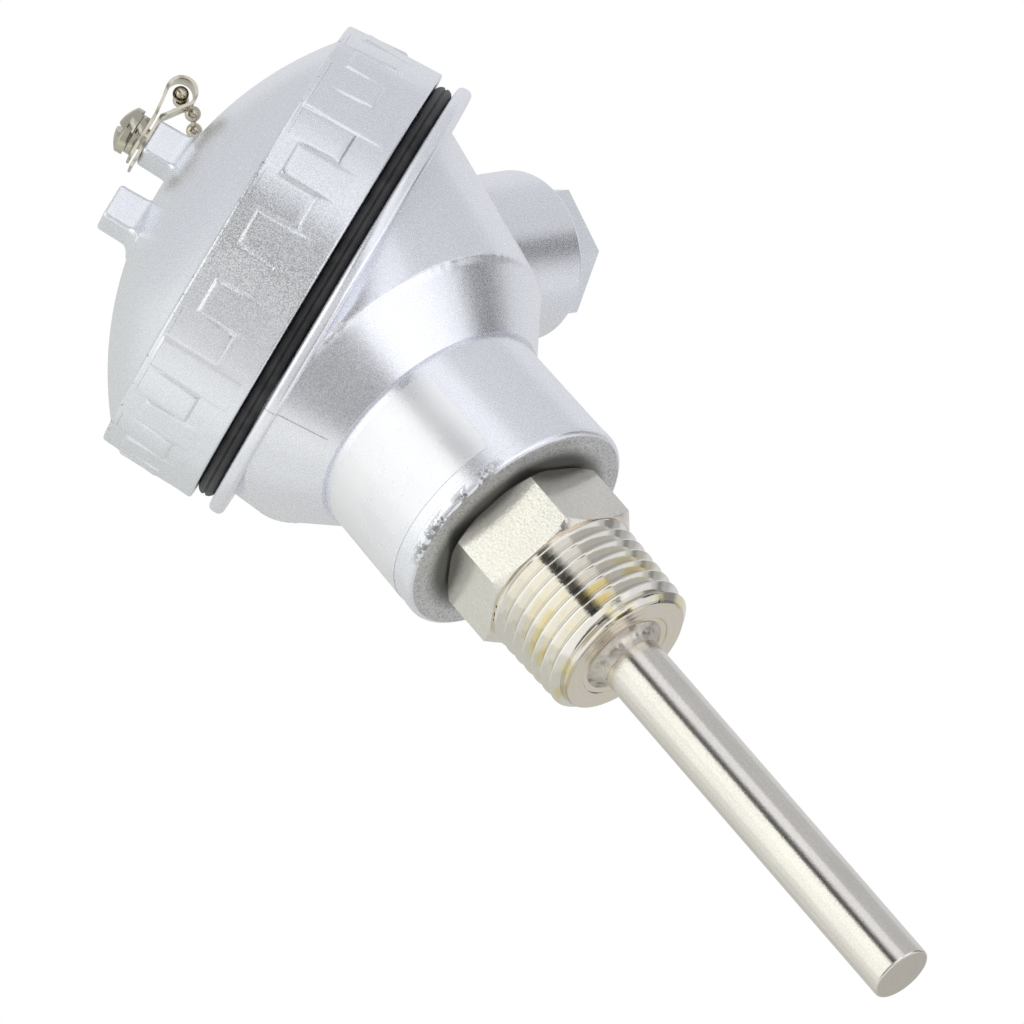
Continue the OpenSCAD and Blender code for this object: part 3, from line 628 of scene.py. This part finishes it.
tube_steel = steel("stainless_tube", (0.86, 0.825, 0.78), (1, 1, 40), 0.15, 4e-6, mottle=0.35,
                   end=(0.64, 0.59, 0.52))
turned_steel = steel("stainless_turned", (0.90, 0.87, 0.81), (1, 1, 0.35), 0.07, 6e-6, thread=True,
                     end=(0.92, 0.84, 0.74))
hexagon_steel = steel("stainless_bar", (0.94, 0.915, 0.85), (1, 1, 1), 0.13, 8e-6, mottle=0.45)
# painted dark reflection: this nickel is darker than the chain's, standing in for the dark reflections the white
# room lacks
nickel = steel("nickel_hardware", (0.60, 0.565, 0.47), (1, 1, 1), 0.06, 4e-6, dents=240e-6)
chain_nickel = steel("chain_nickel", (0.66, 0.61, 0.50), (1, 1, 1), 0.06, 3e-6)
brass = steel("terminal_brass", (0.80, 0.62, 0.32), (1, 1, 1), 0.25, 10e-6)
print("six metals ready")

# %% Weld metal
def weld_metal():
    """Heat-dulled metal with small lumps and dark specks of scale."""
    f = Finish("weld_bead")
    lumps = f.noise(0.8 * MM, detail=3)
    scale = f.noise(1.6 * MM, detail=4).between(0.56, 0.68)
    bright = f.mix(lumps.between(0.3, 0.7), (0.58, 0.54, 0.48), (0.74, 0.70, 0.63))
    return f.put(Base_Color=f.mix(scale * 0.7, bright, (0.20, 0.18, 0.16)), Metallic=1.0,
                 Roughness=0.26 + lumps * 0.2, Normal=f.bump(lumps, 60e-6))


weld = weld_metal()
print(weld.name, "ready")

# %% [markdown]
# The soft and ceramic parts: a black gasket with a slight bloom, the cable's grommet, the white steatite of
# the terminal block, the insulation of the leads and the paper-white sticker on the neck.

# %% Rubber, ceramic, insulation and film
def plain(name, dark, light, size, rough, depth, **more):
    """A finish whose colour drifts between two shades over patches of one size."""
    f = Finish(name)
    drift = f.noise(size, detail=4)
    grain = f.noise(size / 12, detail=2)
    return f.put(Base_Color=f.mix(drift.between(0.3, 0.7), dark, light), Roughness=drift * 0.12 + rough,
                 Normal=f.bump(grain, depth), **more)


gasket_rubber = plain("gasket_rubber", (0.010, 0.010, 0.011), (0.035, 0.035, 0.037), 0.003, 0.42, 50e-6)
grommet_rubber = plain("grommet_rubber", (0.02, 0.02, 0.022), (0.04, 0.04, 0.042), 0.003, 0.5, 50e-6)
ceramic = plain("block_ceramic", (0.80, 0.79, 0.74), (0.90, 0.89, 0.85), 0.005, 0.35, 30e-6)
element_ceramic = plain("element_ceramic", (0.84, 0.82, 0.76), (0.92, 0.91, 0.87), 0.003, 0.4, 20e-6)
filling_powder = plain("filling_powder", (0.76, 0.75, 0.70), (0.86, 0.85, 0.81), 0.001, 0.85, 80e-6)
red_lead = plain("lead_red", (0.50, 0.03, 0.03), (0.62, 0.05, 0.04), 0.004, 0.45, 20e-6)
white_lead = plain("lead_white", (0.80, 0.80, 0.78), (0.88, 0.88, 0.86), 0.004, 0.45, 20e-6)
film = plain("label_film", (0.80, 0.81, 0.84), (0.84, 0.85, 0.87), 0.006, 0.22, 4e-6, Metallic=0.5,
             Coat_Weight=0.3, Coat_Roughness=0.08)
print(len([m for m in bpy.data.materials if m.use_nodes]), "materials so far")

# %% [markdown]
# ## The screw cap
#
# The cap is cast: a flat dome over a rim whose grip is a square wave. The two halves of the die met along
# that wave, so pads from above and fingers from below stand a little proud and fade into the rim. Every
# fourth finger is worn down to a long shallow pad. The body is one lathe section. Each pad is a patch of the
# rim's own faces, inset three times and lifted a little more each time, which gives it a rounded step. The
# two square lugs are for a spanner, and one is drilled for the chain's screw.

# %% Section of the cap
COLUMNS = 38
COLUMN = math.tau / COLUMNS
RIM_Z, RIM_TOP, RIM_LOW_R, RIM_TOP_R = -3.4, 9.9, 31.0, 30.3
RIM_H = RIM_TOP - RIM_Z
DOME_R, DOME_BALL, DOME_C, APEX, LUG_TOP = 28.1, 44.48, -24.58, 19.9, 24.2
CAP_WALL, SKIRT_R, THREAD_TOP = 2.3, 26.3, 4.1
POCKET_Z, FINGER_TOP, FINGER_Z, PAD_TOP = 1.521, 7.373, -1.139, 9.5
CAP_THREAD = 1.2      # how deep the thread's groove goes into the cap's skirt


def dome_points(ball, r_from, r_to, count):
    """Points along the dome's arc between two radii."""
    a, b = (math.degrees(math.acos(r / ball)) for r in (r_from, r_to))
    return arc((0, DOME_C), ball, a, b, count)


def rim_radius(z):
    return RIM_LOW_R + (RIM_TOP_R - RIM_LOW_R) * (z - RIM_Z) / RIM_H


rim_levels = [9.0, FINGER_TOP + 0.35, FINGER_TOP, 6.4, 4.5, 2.7, POCKET_Z, POCKET_Z - 0.35, 0.2, FINGER_Z, -2.2]
outline = (dome_points(DOME_BALL, 0, DOME_R, 22)[:-1]
           + [(DOME_R, RIM_TOP, 0.35), (RIM_TOP_R, RIM_TOP, 0.4)]
           + [(rim_radius(z), z) for z in [PAD_TOP - 0.1] + rim_levels]
           + [(RIM_LOW_R, RIM_Z, 0.35), (SKIRT_R, RIM_Z, 0.2), (SKIRT_R, THREAD_TOP),
              (SKIRT_R - CAP_THREAD, THREAD_TOP)]
           + dome_points(DOME_BALL - CAP_WALL, SKIRT_R - CAP_THREAD, 0, 14))
cap_bm = lathe(outline, steps=COLUMNS * 6)
print("cap section of", len(outline), "points")

# %% Grip pads
RELIEF, WORN_LOW, WORN_TOP = 0.34, 0.08, 0.22      # how far the pads stand proud, in mm
STEP, STEP_SHARES = 0.15, (0.4, 0.75, 1.0)
PATTERN_TURN = math.radians(-2.1)


def raise_pad(bm, turn, z0, rise0, z1, rise1):
    """Lifts the rim's faces in one column between two heights, by rise0 at z0 and rise1 at z1."""
    def inside(face):
        centre = face.calc_center_median()
        off = (math.atan2(centre.y, centre.x) - turn + math.pi) % math.tau - math.pi
        return abs(off) < COLUMN / 2 and z0 < centre.z < z1 and centre.xy.length > DOME_R + 1
    pad = [f for f in bm.faces if inside(f)]
    for share in STEP_SHARES:
        bmesh.ops.inset_region(bm, faces=pad, thickness=STEP, use_even_offset=True, use_boundary=True)
        for vert in {v for f in pad for v in f.verts}:
            rise = max(0, rise0 + (rise1 - rise0) * (vert.co.z - z0) / (z1 - z0)) * share
            radius = vert.co.xy.length
            vert.co.xy *= (rim_radius(vert.co.z) + rise) / radius


for j in range(-9, 10):
    raise_pad(cap_bm, math.pi + COLUMN * (2 * j + 1), POCKET_Z, RELIEF, PAD_TOP - 0.1, 0)
    if j % 4:
        raise_pad(cap_bm, math.pi + COLUMN * 2 * j, FINGER_Z, 0, FINGER_TOP, RELIEF)
    else:
        raise_pad(cap_bm, math.pi + COLUMN * 2 * j, rim_levels[-1], WORN_LOW, PAD_TOP - 0.1, WORN_TOP)
cap = as_object("screw_cap", cap_bm, LID @ Matrix.Rotation(PATTERN_TURN, 4, "Z"))

# %% Spanner lugs
LUG_TURN, LUG_PITCH, LUG_SIDE, LUG_LENGTH = math.radians(-34), 10.4, 5.0, 8
LUG_HOLE_R, LUG_HOLE_DEEP = 1.6, 5.0


def lug(side):
    """A square lug with a slight draft, rounded edges and a flared foot."""
    bm = bmesh.new()
    bmesh.ops.create_cube(bm, size=1)
    bmesh.ops.scale(bm, vec=(LUG_SIDE, LUG_SIDE, LUG_LENGTH), verts=bm.verts)
    bmesh.ops.translate(bm, vec=(0, 0, LUG_TOP - LUG_LENGTH / 2), verts=bm.verts)
    upright = [e for e in bm.edges if abs(e.verts[0].co.z - e.verts[1].co.z) > 1]
    bmesh.ops.bevel(bm, geom=upright, offset=0.55, offset_type="OFFSET", segments=3, profile=0.5,
                    affect="EDGES", material=-1)
    rim = [e for e in bm.edges if all(v.co.z > LUG_TOP - 0.01 for v in e.verts)]
    bmesh.ops.bevel(bm, geom=rim, offset=0.4, offset_type="OFFSET", segments=3, profile=0.5,
                    affect="EDGES", material=-1)
    long_edges = [e for e in bm.edges if abs(e.verts[0].co.z - e.verts[1].co.z) > 4]
    bmesh.ops.subdivide_edges(bm, edges=long_edges, cuts=15)
    for vert in bm.verts:
        above = vert.co.z - (APEX - 0.5)
        flare = 1 + 0.03 * (LUG_TOP - vert.co.z) / 4 + 0.22 * max(0, (0.9 - above) / 0.9) ** 2
        vert.co.xy *= min(flare, 1.5)
    bmesh.ops.translate(bm, vec=(side * LUG_PITCH / 2, 0, 0), verts=bm.verts)
    return as_object("lug", bm, LID @ Matrix.Rotation(LUG_TURN, 4, "Z"))


carve(cap, "UNION", lug(-1), lug(1))
hole = Matrix.Rotation(LUG_TURN, 4, "Z") @ Matrix.Translation((LUG_PITCH / 2, 0, LUG_TOP - LUG_HOLE_DEEP))
carve(cap, "DIFFERENCE", as_object("drill", cylinder(LUG_HOLE_R, LUG_HOLE_DEEP + 1, hole), LID))
finish_piece(cap, cap_paint, "screw_cap", "cap_paint", "cap", angle=40)

# %% [markdown]
# ## The head casting
#
# The head is a neck, a funnel-shaped shoulder, a bowl, a round cable entry and a small pad for the chain. In
# a casting all these flow into each other. The shoulder and the bowl are laid over one another and remeshed
# as one skin, which rounds the corner between them, as the foundry does. The neck, the cable entry, the
# chain's pad and the machined flange are added afterwards, and the bores and the hollow inside are cut, so
# they stay crisp.

# %% Cast skin of the head
NECK_Z, NECK_LOW_R, NECK_TOP_R, SHOULDER_Z, SHOULDER_R = 9.2, 16.4, 16.05, 27.5, 16.65
CREST_R, CREST_Z = 22.8, 35.4
FLANGE_Z, FLANGE_TOP, FLANGE_R, COLLAR_R, COLLAR_TOP = -7.9, -5.9, 31.0, 26.0, 2.6
BOWL_R, BOWL_SHIFT, WALL = 26.5, 2.0, 2.6
BOSS_Z, BOSS_R, BOSS_REACH, BOSS_ROOT = 53.8, 11.0, 39.6, 16.8
ENTRY_R, ENTRY_DEEP, WIRE_R = 8.1, 15.0, 5.5
PAD_X, PAD_Y, PAD_R, PAD_HOLE, PAD_HOLE_R = 31.0, 12.8, 3.3, 3.4, 1.6
SKIN_CELL = 0.38      # the remeshed skin's cell, in mm
ALONG_X = Matrix.Rotation(math.pi / 2, 4, "Y")
ALONG_Y = Matrix.Rotation(-math.pi / 2, 4, "X")
LID_MM = Matrix.Translation(LID.translation / MM) @ LID.to_3x3().to_4x4()


def hull(*rings):
    """The convex hull of some rings, each (radius, matrix)."""
    bm = bmesh.new()
    for radius, matrix in rings:
        bmesh.ops.create_circle(bm, cap_ends=False, segments=192, radius=radius, matrix=matrix)
    bmesh.ops.convex_hull(bm, input=bm.verts)
    bmesh.ops.recalc_face_normals(bm, faces=bm.faces)
    return bm


skin = lathe([(0, SHOULDER_Z - 4), (SHOULDER_R - 3.3, SHOULDER_Z - 4),
              (CREST_R, CREST_Z - 0.25), (CREST_R - 1.5, CREST_Z + 2), (0, CREST_Z + 2)], steps=192)
add_mesh(skin, hull((CREST_R, up(CREST_Z - 0.6)), (CREST_R, up(CREST_Z)),
                    (BOWL_R, LID_MM @ Matrix.Translation((-BOWL_SHIFT, 0, FLANGE_Z))),
                    (BOWL_R, LID_MM @ Matrix.Translation((-BOWL_SHIFT, 0, FLANGE_Z + 1.2)))))
head = as_object("head_casting", skin)
remesh = head.modifiers.new("one_skin", "REMESH")
remesh.mode, remesh.voxel_size, remesh.adaptivity = "VOXEL", SKIN_CELL * MM, 0.0
relax = head.modifiers.new("relax", "SMOOTH")
relax.factor, relax.iterations = 0.5, 2
apply_modifiers(head)
print("cast skin:", len(head.data.polygons), "faces")

# %% Flange, neck, cable entry and chain pad
flange = as_object("flange", lathe([
    (0, FLANGE_Z), (FLANGE_R, FLANGE_Z, 0.75), (FLANGE_R, FLANGE_TOP, 0.75), (COLLAR_R, FLANGE_TOP),
    (COLLAR_R, COLLAR_TOP, 0.4), (0, COLLAR_TOP)], steps=256), LID)
slab = as_object("slab", cylinder(SHOULDER_R + 4, 8, up(SHOULDER_Z - 8), 96))
carve(head, "DIFFERENCE", slab)
NECK_END = NECK_LOW_R - 0.6
LIP_TOP, LIP_STEP = 1.8, 0.09      # the machined band at the neck's lower edge: its height, its step
neck = as_object("neck", lathe([
    (0, NECK_Z), (NECK_END - 1, NECK_Z), (NECK_LOW_R, NECK_Z, 0.9), (NECK_LOW_R - 0.02, NECK_Z + 1.7),
    (NECK_LOW_R - LIP_STEP, NECK_Z + LIP_TOP), (NECK_TOP_R, SHOULDER_Z + 0.05), (0, SHOULDER_Z + 0.05)],
    steps=192))
boss = as_object("boss", lathe([
    (0, BOSS_ROOT), (BOSS_R, BOSS_ROOT), (BOSS_R, BOSS_REACH, 0.8), (0, BOSS_REACH)], steps=160),
    up(BOSS_Z * MM) @ ALONG_X)
pad_length = PAD_Y - ENTRY_R - 1
pad = as_object("pad", lathe([(0, 0), (PAD_R, 0), (PAD_R, pad_length, 0.4), (0, pad_length)], steps=64),
                Matrix.Translation(Vector((PAD_X, ENTRY_R + 1, BOSS_Z)) * MM) @ ALONG_Y)
carve(head, "UNION", neck, boss, pad, flange)
print("outside of the casting:", len(head.data.polygons), "faces")

# %% Bores and the hollow inside
SPIGOT_HOLE_R = 10.0
INNER_CREST_R, INNER_COLLAR_R = CREST_R - WALL, COLLAR_R - WALL
hollow = as_object("hollow", hull(
    (INNER_CREST_R, up(CREST_Z)), (INNER_CREST_R, up(CREST_Z + 0.4)),
    (INNER_COLLAR_R - 0.5, LID_MM @ up(FLANGE_Z + 1)), (INNER_COLLAR_R - 0.5, LID_MM @ up(FLANGE_Z + 1.4))))
mouth = as_object("mouth", cylinder(INNER_COLLAR_R, COLLAR_TOP - FLANGE_Z + 1, up(FLANGE_Z), 192), LID)
floor_cone = as_object("floor_cone", cylinder(SHOULDER_R - WALL - 2, 5.5, up(SHOULDER_Z + WALL), 96,
                                              radius_top=INNER_CREST_R - 0.5))
spigot_hole = as_object("spigot_hole", cylinder(SPIGOT_HOLE_R, 23, up(NECK_Z - 1), 96))
entry_place = Matrix.Translation((BOSS_REACH - ENTRY_DEEP, 0, BOSS_Z)) @ ALONG_X
entry = as_object("entry", cylinder(ENTRY_R, ENTRY_DEEP + 1, entry_place, 96))
wire_way = as_object("wire_way", cylinder(WIRE_R, 20, Matrix.Translation((BOSS_ROOT, 0, BOSS_Z)) @ ALONG_X))
pad_place = Matrix.Translation((PAD_X, PAD_Y - PAD_HOLE, BOSS_Z)) @ ALONG_Y
pad_hole = as_object("pad_hole", cylinder(PAD_HOLE_R, PAD_HOLE + 1, pad_place, 32))
carve(head, "DIFFERENCE", hollow, mouth, floor_cone, spigot_hole, entry, wire_way, pad_hole)
finish_piece(head, head_paint, "head", "head_paint", "housing", angle=24)
head.data.materials.append(bare_metal)
# the neck's lower face takes the bare metal with its painted shadow
for face in head.data.polygons:
    if face.normal.z < -0.98 and abs(face.center.z - NECK_Z * MM) < 0.05 * MM:
        face.material_index = 1

# %% [markdown]
# ## Gasket
#
# A ring of black rubber is squeezed between the cap and the flange, and bulges out of the joint. A fine
# groove runs along its middle.

# %% Gasket
GASKET_R, GASKET_LOW, GASKET_TOP, GASKET_IN = 29.8, -5.85, -3.45, 26.2
GROOVE = 0.3      # the groove's depth
mid = (GASKET_LOW + GASKET_TOP) / 2
gasket = as_object("gasket_ring", lathe([
    (GASKET_IN, GASKET_LOW), (GASKET_R - 0.25, GASKET_LOW, 0.8), (GASKET_R, mid - 0.2, 0.15),
    (GASKET_R - GROOVE, mid, 0.1), (GASKET_R, mid + 0.2, 0.15), (GASKET_R - 0.25, GASKET_TOP, 0.8),
    (GASKET_IN, GASKET_TOP)], steps=192, closed=True), LID)
finish_piece(gasket, gasket_rubber, "gasket_stage", "gasket_rubber", "gasket", angle=50)

# %% [markdown]
# ## Process fitting
#
# The fitting is turned from hexagon bar. The taper thread is a real helix: one tooth section is spun with a
# small rise at each step, and each point is then moved in or out for the taper. Points beyond the chamfer's
# cone are pulled back to it, which lets the last thread run out as a die leaves it.

# %% Helical taper thread
PITCH, THREAD_LEN, CHAMFER = 1.814, 13.7, 0.9
STEPS_A_TURN, SPIN_R = 72, 20      # the ridge is spun at this radius, then moved in to the thread's


def crest_radius(z):
    return CREST_AT_HEX + z * TAPER


def thread_ridge():
    """A closed helical ridge whose root lies inside the core."""
    bm = bmesh.new()
    half, root = PITCH / 2, -TOOTH - 0.35
    section = [(root, -half * 1.02), (-TOOTH, -half * 0.90), (-0.08, -half * 0.10), (-0.08, half * 0.10),
               (-TOOTH, half * 0.90), (root, half * 1.02)]
    chain = [bm.verts.new((SPIN_R + r, 0, z)) for r, z in section]
    face = bm.faces.new(chain)
    steps = round(STEPS_A_TURN * (THREAD_LEN / PITCH + 0.9))
    bmesh.ops.translate(bm, vec=(0, 0, -THREAD_LEN - PITCH * 0.35), verts=bm.verts)
    bmesh.ops.spin(bm, geom=[face, *face.edges, *face.verts], axis=(0, 0, 1), cent=(0, 0, 0),
                   dvec=(0, 0, PITCH / STEPS_A_TURN), angle=math.tau * steps / STEPS_A_TURN, steps=steps)
    for vert in bm.verts:
        radius = vert.co.xy.length
        wanted = crest_radius(vert.co.z) + radius - SPIN_R
        cone = crest_radius(-THREAD_LEN) - CHAMFER * 1.5 + (vert.co.z + THREAD_LEN) * 1.15
        run_out = crest_radius(0) - 0.2 + max(0, (-0.6 - vert.co.z)) * 0.9
        vert.co.xy *= max(min(wanted, cone, run_out), 4.6) / radius
        vert.co.z = max(vert.co.z, -THREAD_LEN + 0.01)
    bmesh.ops.recalc_face_normals(bm, faces=bm.faces)
    return bm


print("crest radius from", crest_radius(0), "to", round(crest_radius(-THREAD_LEN), 2), "mm")

# %% Core of the fitting
HEX_AF, HEX_H, HEX_TURN = 21.0, 8.9, math.radians(34)
SHEATH_BORE_R, WIRE_BORE_R, SPIGOT_R, SPIGOT_TOP = 4.02, 5.6, 9.9, 20.2
end_crest, root_at_hex = crest_radius(-THREAD_LEN), crest_radius(0) - TOOTH
core = lathe([
    (SHEATH_BORE_R, -THREAD_LEN + 0.35), (5.6, -THREAD_LEN + 0.25), (6.3, -THREAD_LEN + 0.12),
    (6.45, -THREAD_LEN), (end_crest - 1.9, -THREAD_LEN), (end_crest - 1.35, -THREAD_LEN, 0.15),
    (end_crest - TOOTH, -THREAD_LEN + 0.5), (root_at_hex, -0.9), (crest_radius(0) - 0.5, -0.25, 0.15),
    (crest_radius(0) - 0.5, 0.3), (9.6, 1.0), (9.6, HEX_H + 0.3), (SPIGOT_R, HEX_H + 0.3),
    (SPIGOT_R, SPIGOT_TOP), (WIRE_BORE_R, SPIGOT_TOP), (WIRE_BORE_R, SPIGOT_TOP - 3),
    (SHEATH_BORE_R, SPIGOT_TOP - 3)], steps=144, closed=True)
fitting = as_object("process_fitting_turned", core)
carve(fitting, "UNION", as_object("ridge", thread_ridge()))
print("core and thread:", len(fitting.data.polygons), "faces")

# %% Hexagon with turned corners
bm = bmesh.new()
corner = HEX_AF / 2 / math.cos(math.pi / 6)
bmesh.ops.create_cone(bm, cap_ends=True, segments=6, radius1=corner, radius2=corner, depth=HEX_H,
                      matrix=Matrix.Rotation(HEX_TURN, 4, "Z") @ up(HEX_H / 2))
hexagon = as_object("hexagon", bm)
end_r = HEX_AF / 2 + 0.25
drop = (corner - end_r) * math.tan(math.pi / 6)
turned = as_object("turned", lathe([(0, 0), (end_r, 0), (corner + 0.01, drop), (corner + 0.01, HEX_H - drop),
                                    (end_r, HEX_H), (0, HEX_H)], steps=144))
carve(hexagon, "INTERSECT", turned)
soften(hexagon, 0.12, 20)
carve(hexagon, "DIFFERENCE", as_object("bore", cylinder(9.0, HEX_H + 2, up(-1), 96)))
seat = as_object("seat", lathe([(9.3, HEX_H - 1), (SPIGOT_R, HEX_H - 1), (SPIGOT_R, HEX_H + 0.3),
                                (9.3, HEX_H + 0.3)], 96, closed=True))
carve(fitting, "UNION", hexagon, seat)
finish_piece(fitting, turned_steel, "head", "stainless_turned", "process_fitting", angle=28)
fitting.data.materials.append(hexagon_steel)
for face in fitting.data.polygons:
    if face.center.z > 0.02 * MM and face.center.xy.length > 9.7 * MM:
        face.material_index = 1

# %% [markdown]
# ## Sheath and weld
#
# The sheath is a drawn tube with a closed, rounded tip. It is welded to the fitting's end face all round, so
# the bead is a small ring with the lumps that a hand-held torch leaves.

# %% Sheath
TUBE_R, TUBE_WALL, TIP_Z, TUBE_TOP = 4.0, 0.9, -70.3, 17.2
TUBE_IN, TIP_IN = TUBE_R - TUBE_WALL, TIP_Z + TUBE_WALL
tube = as_object("sheath_tube", lathe([
    (0, TIP_Z), (2.9, TIP_Z), (TUBE_R, TIP_Z, 0.35), (TUBE_R, TIP_Z + 1.5), (TUBE_R, -15.9),
    (TUBE_R, TUBE_TOP), (TUBE_IN, TUBE_TOP), (TUBE_IN, TIP_IN), (0, TIP_IN)], steps=96))
finish_piece(tube, tube_steel, "head", "stainless_tube", "sheath")

# %% Weld bead
# the bead's half section, outwards from the tube's skin and up from the fitting's end face
BEAD_SECTION = [(-0.08, 0.3), (-0.08, -1.5), (0.06, -1.5), (0.22, -0.95), (0.5, -0.45), (0.95, -0.1),
                (1.6, 0.18), (1.6, 0.35)]
weld_bm = lathe([(TUBE_R + r, z - THREAD_LEN) for r, z in BEAD_SECTION], steps=120, closed=True)
for vert in weld_bm.verts:
    outward = vert.co.xy.length - TUBE_R
    if outward > 0.1 and vert.co.z < -THREAD_LEN + 0.1:
        turn = math.atan2(vert.co.y, vert.co.x)
        lump = math.sin(23 * turn + 1.6 * math.sin(3 * turn)) * 0.03 + math.sin(5 * turn + 1) * 0.07
        vert.co.xy *= 1 + max(lump, -0.8 * outward) / vert.co.xy.length
        vert.co.z -= lump * 0.5
weld_ring = as_object("weld_bead_ring", weld_bm)
finish_piece(weld_ring, weld, "head", "weld_bead", "sheath_weld", angle=60)

# %% [markdown]
# ## Sticker
#
# A translucent film is wrapped round part of the neck. It is left bare. The film follows the neck's slight
# draft, and its corners are rounded, as a die-cut label's are.

# %% Sticker
LABEL_TURN, LABEL_SWEEP, LABEL_Z, LABEL_H = math.radians(106), math.radians(126), 12.6, 13.6
LABEL_CORNER, LABEL_GAP, LABEL_THICK = 0.35, 0.02, 0.05


def neck_radius(z):
    """The neck's radius above its machined band."""
    low_z, low_r = NECK_Z + LIP_TOP, NECK_LOW_R - LIP_STEP
    return low_r + (NECK_TOP_R - low_r) * (z - low_z) / (SHOULDER_Z - low_z)


bm = bmesh.new()
bmesh.ops.create_grid(bm, x_segments=72, y_segments=8, size=0.5)
corners = [v for v in bm.verts if len(v.link_edges) == 2]
span = LABEL_SWEEP * NECK_LOW_R
bmesh.ops.scale(bm, vec=(span, LABEL_H, 1), verts=bm.verts)
for vert in corners:
    vert.co.x -= math.copysign(LABEL_CORNER, vert.co.x)
    vert.co.y -= math.copysign(LABEL_CORNER, vert.co.y)
for vert in bm.verts:
    turn = LABEL_TURN + LABEL_SWEEP / 2 + vert.co.x / NECK_LOW_R
    z = LABEL_Z + LABEL_H / 2 + vert.co.y
    radius = neck_radius(z) + LABEL_GAP
    vert.co = Vector((radius * math.cos(turn), radius * math.sin(turn), z))
bmesh.ops.recalc_face_normals(bm, faces=bm.faces)
if sum(f.normal.xy.dot(f.calc_center_median().xy) for f in bm.faces) < 0:
    bmesh.ops.reverse_faces(bm, faces=bm.faces)
bmesh.ops.solidify(bm, geom=bm.faces, thickness=-LABEL_THICK)
bmesh.ops.recalc_face_normals(bm, faces=bm.faces)
sticker = as_object("sticker", bm)
finish_piece(sticker, film, "head", "label_film", "label")

# %% [markdown]
# ## Gland, strips, washers and screws
#
# These small parts have the right shape in CAD. Their edges are too sharp to be real, though: every real edge
# catches a thin line of light. So each is copied, cleaned into one skin, and its edges are rounded. The gland
# is also turned a little about its own axis, to where it was last tightened.

# %% Small parts from CAD copies
GLAND_TURN = math.radians(-12)
SMALL = [
    # node, name, body, rounding in mm, then slot and material where it isn't nickel
    ("gland_screw", "gland_screw_body", "gland", 0.35, "gland_paint", gland_paint),
    ("cap_strip", "cap_chain_strip", "screw_cap", 0.06),
    ("housing_strip", "head_chain_strip", "head", 0.06),
    ("cap_spring_washer", "cap_washer", "screw_cap", 0.08),
    ("housing_spring_washer", "head_washer", "head", 0.08),
    ("cap_strip_screw", "cap_pan_screw", "screw_cap", 0.10),
    ("housing_strip_screw", "head_pan_screw", "head", 0.10),
    ("terminal_screws", "terminal_pan_screws", "head", 0.10),
    ("block_screws", "block_pan_screws", "head", 0.10),
    ("terminal_1", "clamp_1", "head", 0.15, "terminal_brass", brass),
    ("terminal_2", "clamp_2", "head", 0.15, "terminal_brass", brass),
    ("terminal_3", "clamp_3", "head", 0.15, "terminal_brass", brass),
    ("terminal_block", "steatite_block", "head", 0.3, "block_ceramic", ceramic),
    ("gland_grommet", "grommet", "head", 0.3, "grommet_rubber", grommet_rubber),
    ("gland_washer", "washer", "washer_stage", 0.1),
]
for node, name, body, rounding, *other in SMALL:
    slot, material = other or ("nickel_hardware", nickel)
    piece = from_cad(node, name)
    if name == "gland_screw_body":
        piece.data.transform(up(BOSS_Z * MM) @ Matrix.Rotation(GLAND_TURN, 4, "X") @ up(-BOSS_Z * MM))
    soften(piece, rounding, 35)
    finish_piece(piece, material, body, slot, node, angle=35)

# %% [markdown]
# ## Bead chain
#
# The chain is made of hollow beads on short wires. The CAD chain already has every bead in its place, so the
# beads' centres are read from its separate solids: a solid as wide in all three directions is a bead, and a
# slim one is a wire. Each bead is then a clean sphere, and each wire runs between its two nearest beads.

# %% Bead chain
BEAD_R, CHAIN_WIRE_R, WIRE_IN_BEADS = 1.05, 0.36, 0.2


def islands(mesh):
    """The separate solids of a mesh, each as its list of points."""
    bm = bmesh.new()
    bm.from_mesh(mesh)
    bmesh.ops.remove_doubles(bm, verts=bm.verts, dist=1e-7)
    left, found = dict.fromkeys(bm.verts), []      # a dict keeps its order, so each run is the same
    while left:
        seed = [left.popitem()[0]]
        group = list(seed)
        while seed:
            for edge in seed.pop().link_edges:
                for vert in edge.verts:
                    if vert in left:
                        left.pop(vert)
                        seed.append(vert)
                        group.append(vert)
        found.append([v.co / MM for v in group])
    bm.free()
    return found


beads, wires = [], []
for points in islands(nodes["bead_chain"].data):
    centre = sum(points, Vector()) / len(points)
    reach = [(p - centre).length for p in points]
    if min(reach) > 0.8 * BEAD_R:
        beads.append(centre)
    else:
        wires.append(centre)
print(len(beads), "beads and", len(wires), "wires")
chain = bmesh.new()
for centre in beads:
    one = bmesh.new()
    bmesh.ops.create_icosphere(one, subdivisions=3, radius=BEAD_R, matrix=Matrix.Translation(centre))
    add_mesh(chain, one)
for centre in wires:
    near = sorted(beads, key=lambda b: (b - centre).length)[:2]
    direction = (near[1] - near[0]).normalized()
    turn = direction.to_track_quat("Z", "Y").to_matrix().to_4x4()
    length = (near[1] - near[0]).length - 2 * BEAD_R + WIRE_IN_BEADS
    start = centre - direction * length / 2
    add_mesh(chain, cylinder(CHAIN_WIRE_R, length, Matrix.Translation(start) @ turn, 16))
chain_object = as_object("ball_chain", chain)
smooth(chain_object, 40)
chain_object.data.materials.append(chain_nickel)
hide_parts("bead_chain")
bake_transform(chain_object)

# %% [markdown]
# ## Inside the probe
#
# The element, the powder that holds it, the insulator and the leads are right as they are in CAD. They keep
# their meshes and only get their materials.

# %% Materials for the CAD nodes that stay
STAY = {
    "rtd_element": element_ceramic, "tip_filling": filling_powder, "lead_insulator": element_ceramic,
    "lead_wire_1": red_lead, "lead_wire_2": red_lead, "lead_wire_3": white_lead,
}
for node, material in STAY.items():
    nodes[node].data.materials.clear()
    nodes[node].data.materials.append(material)
print(len(STAY), "CAD nodes keep their shape")
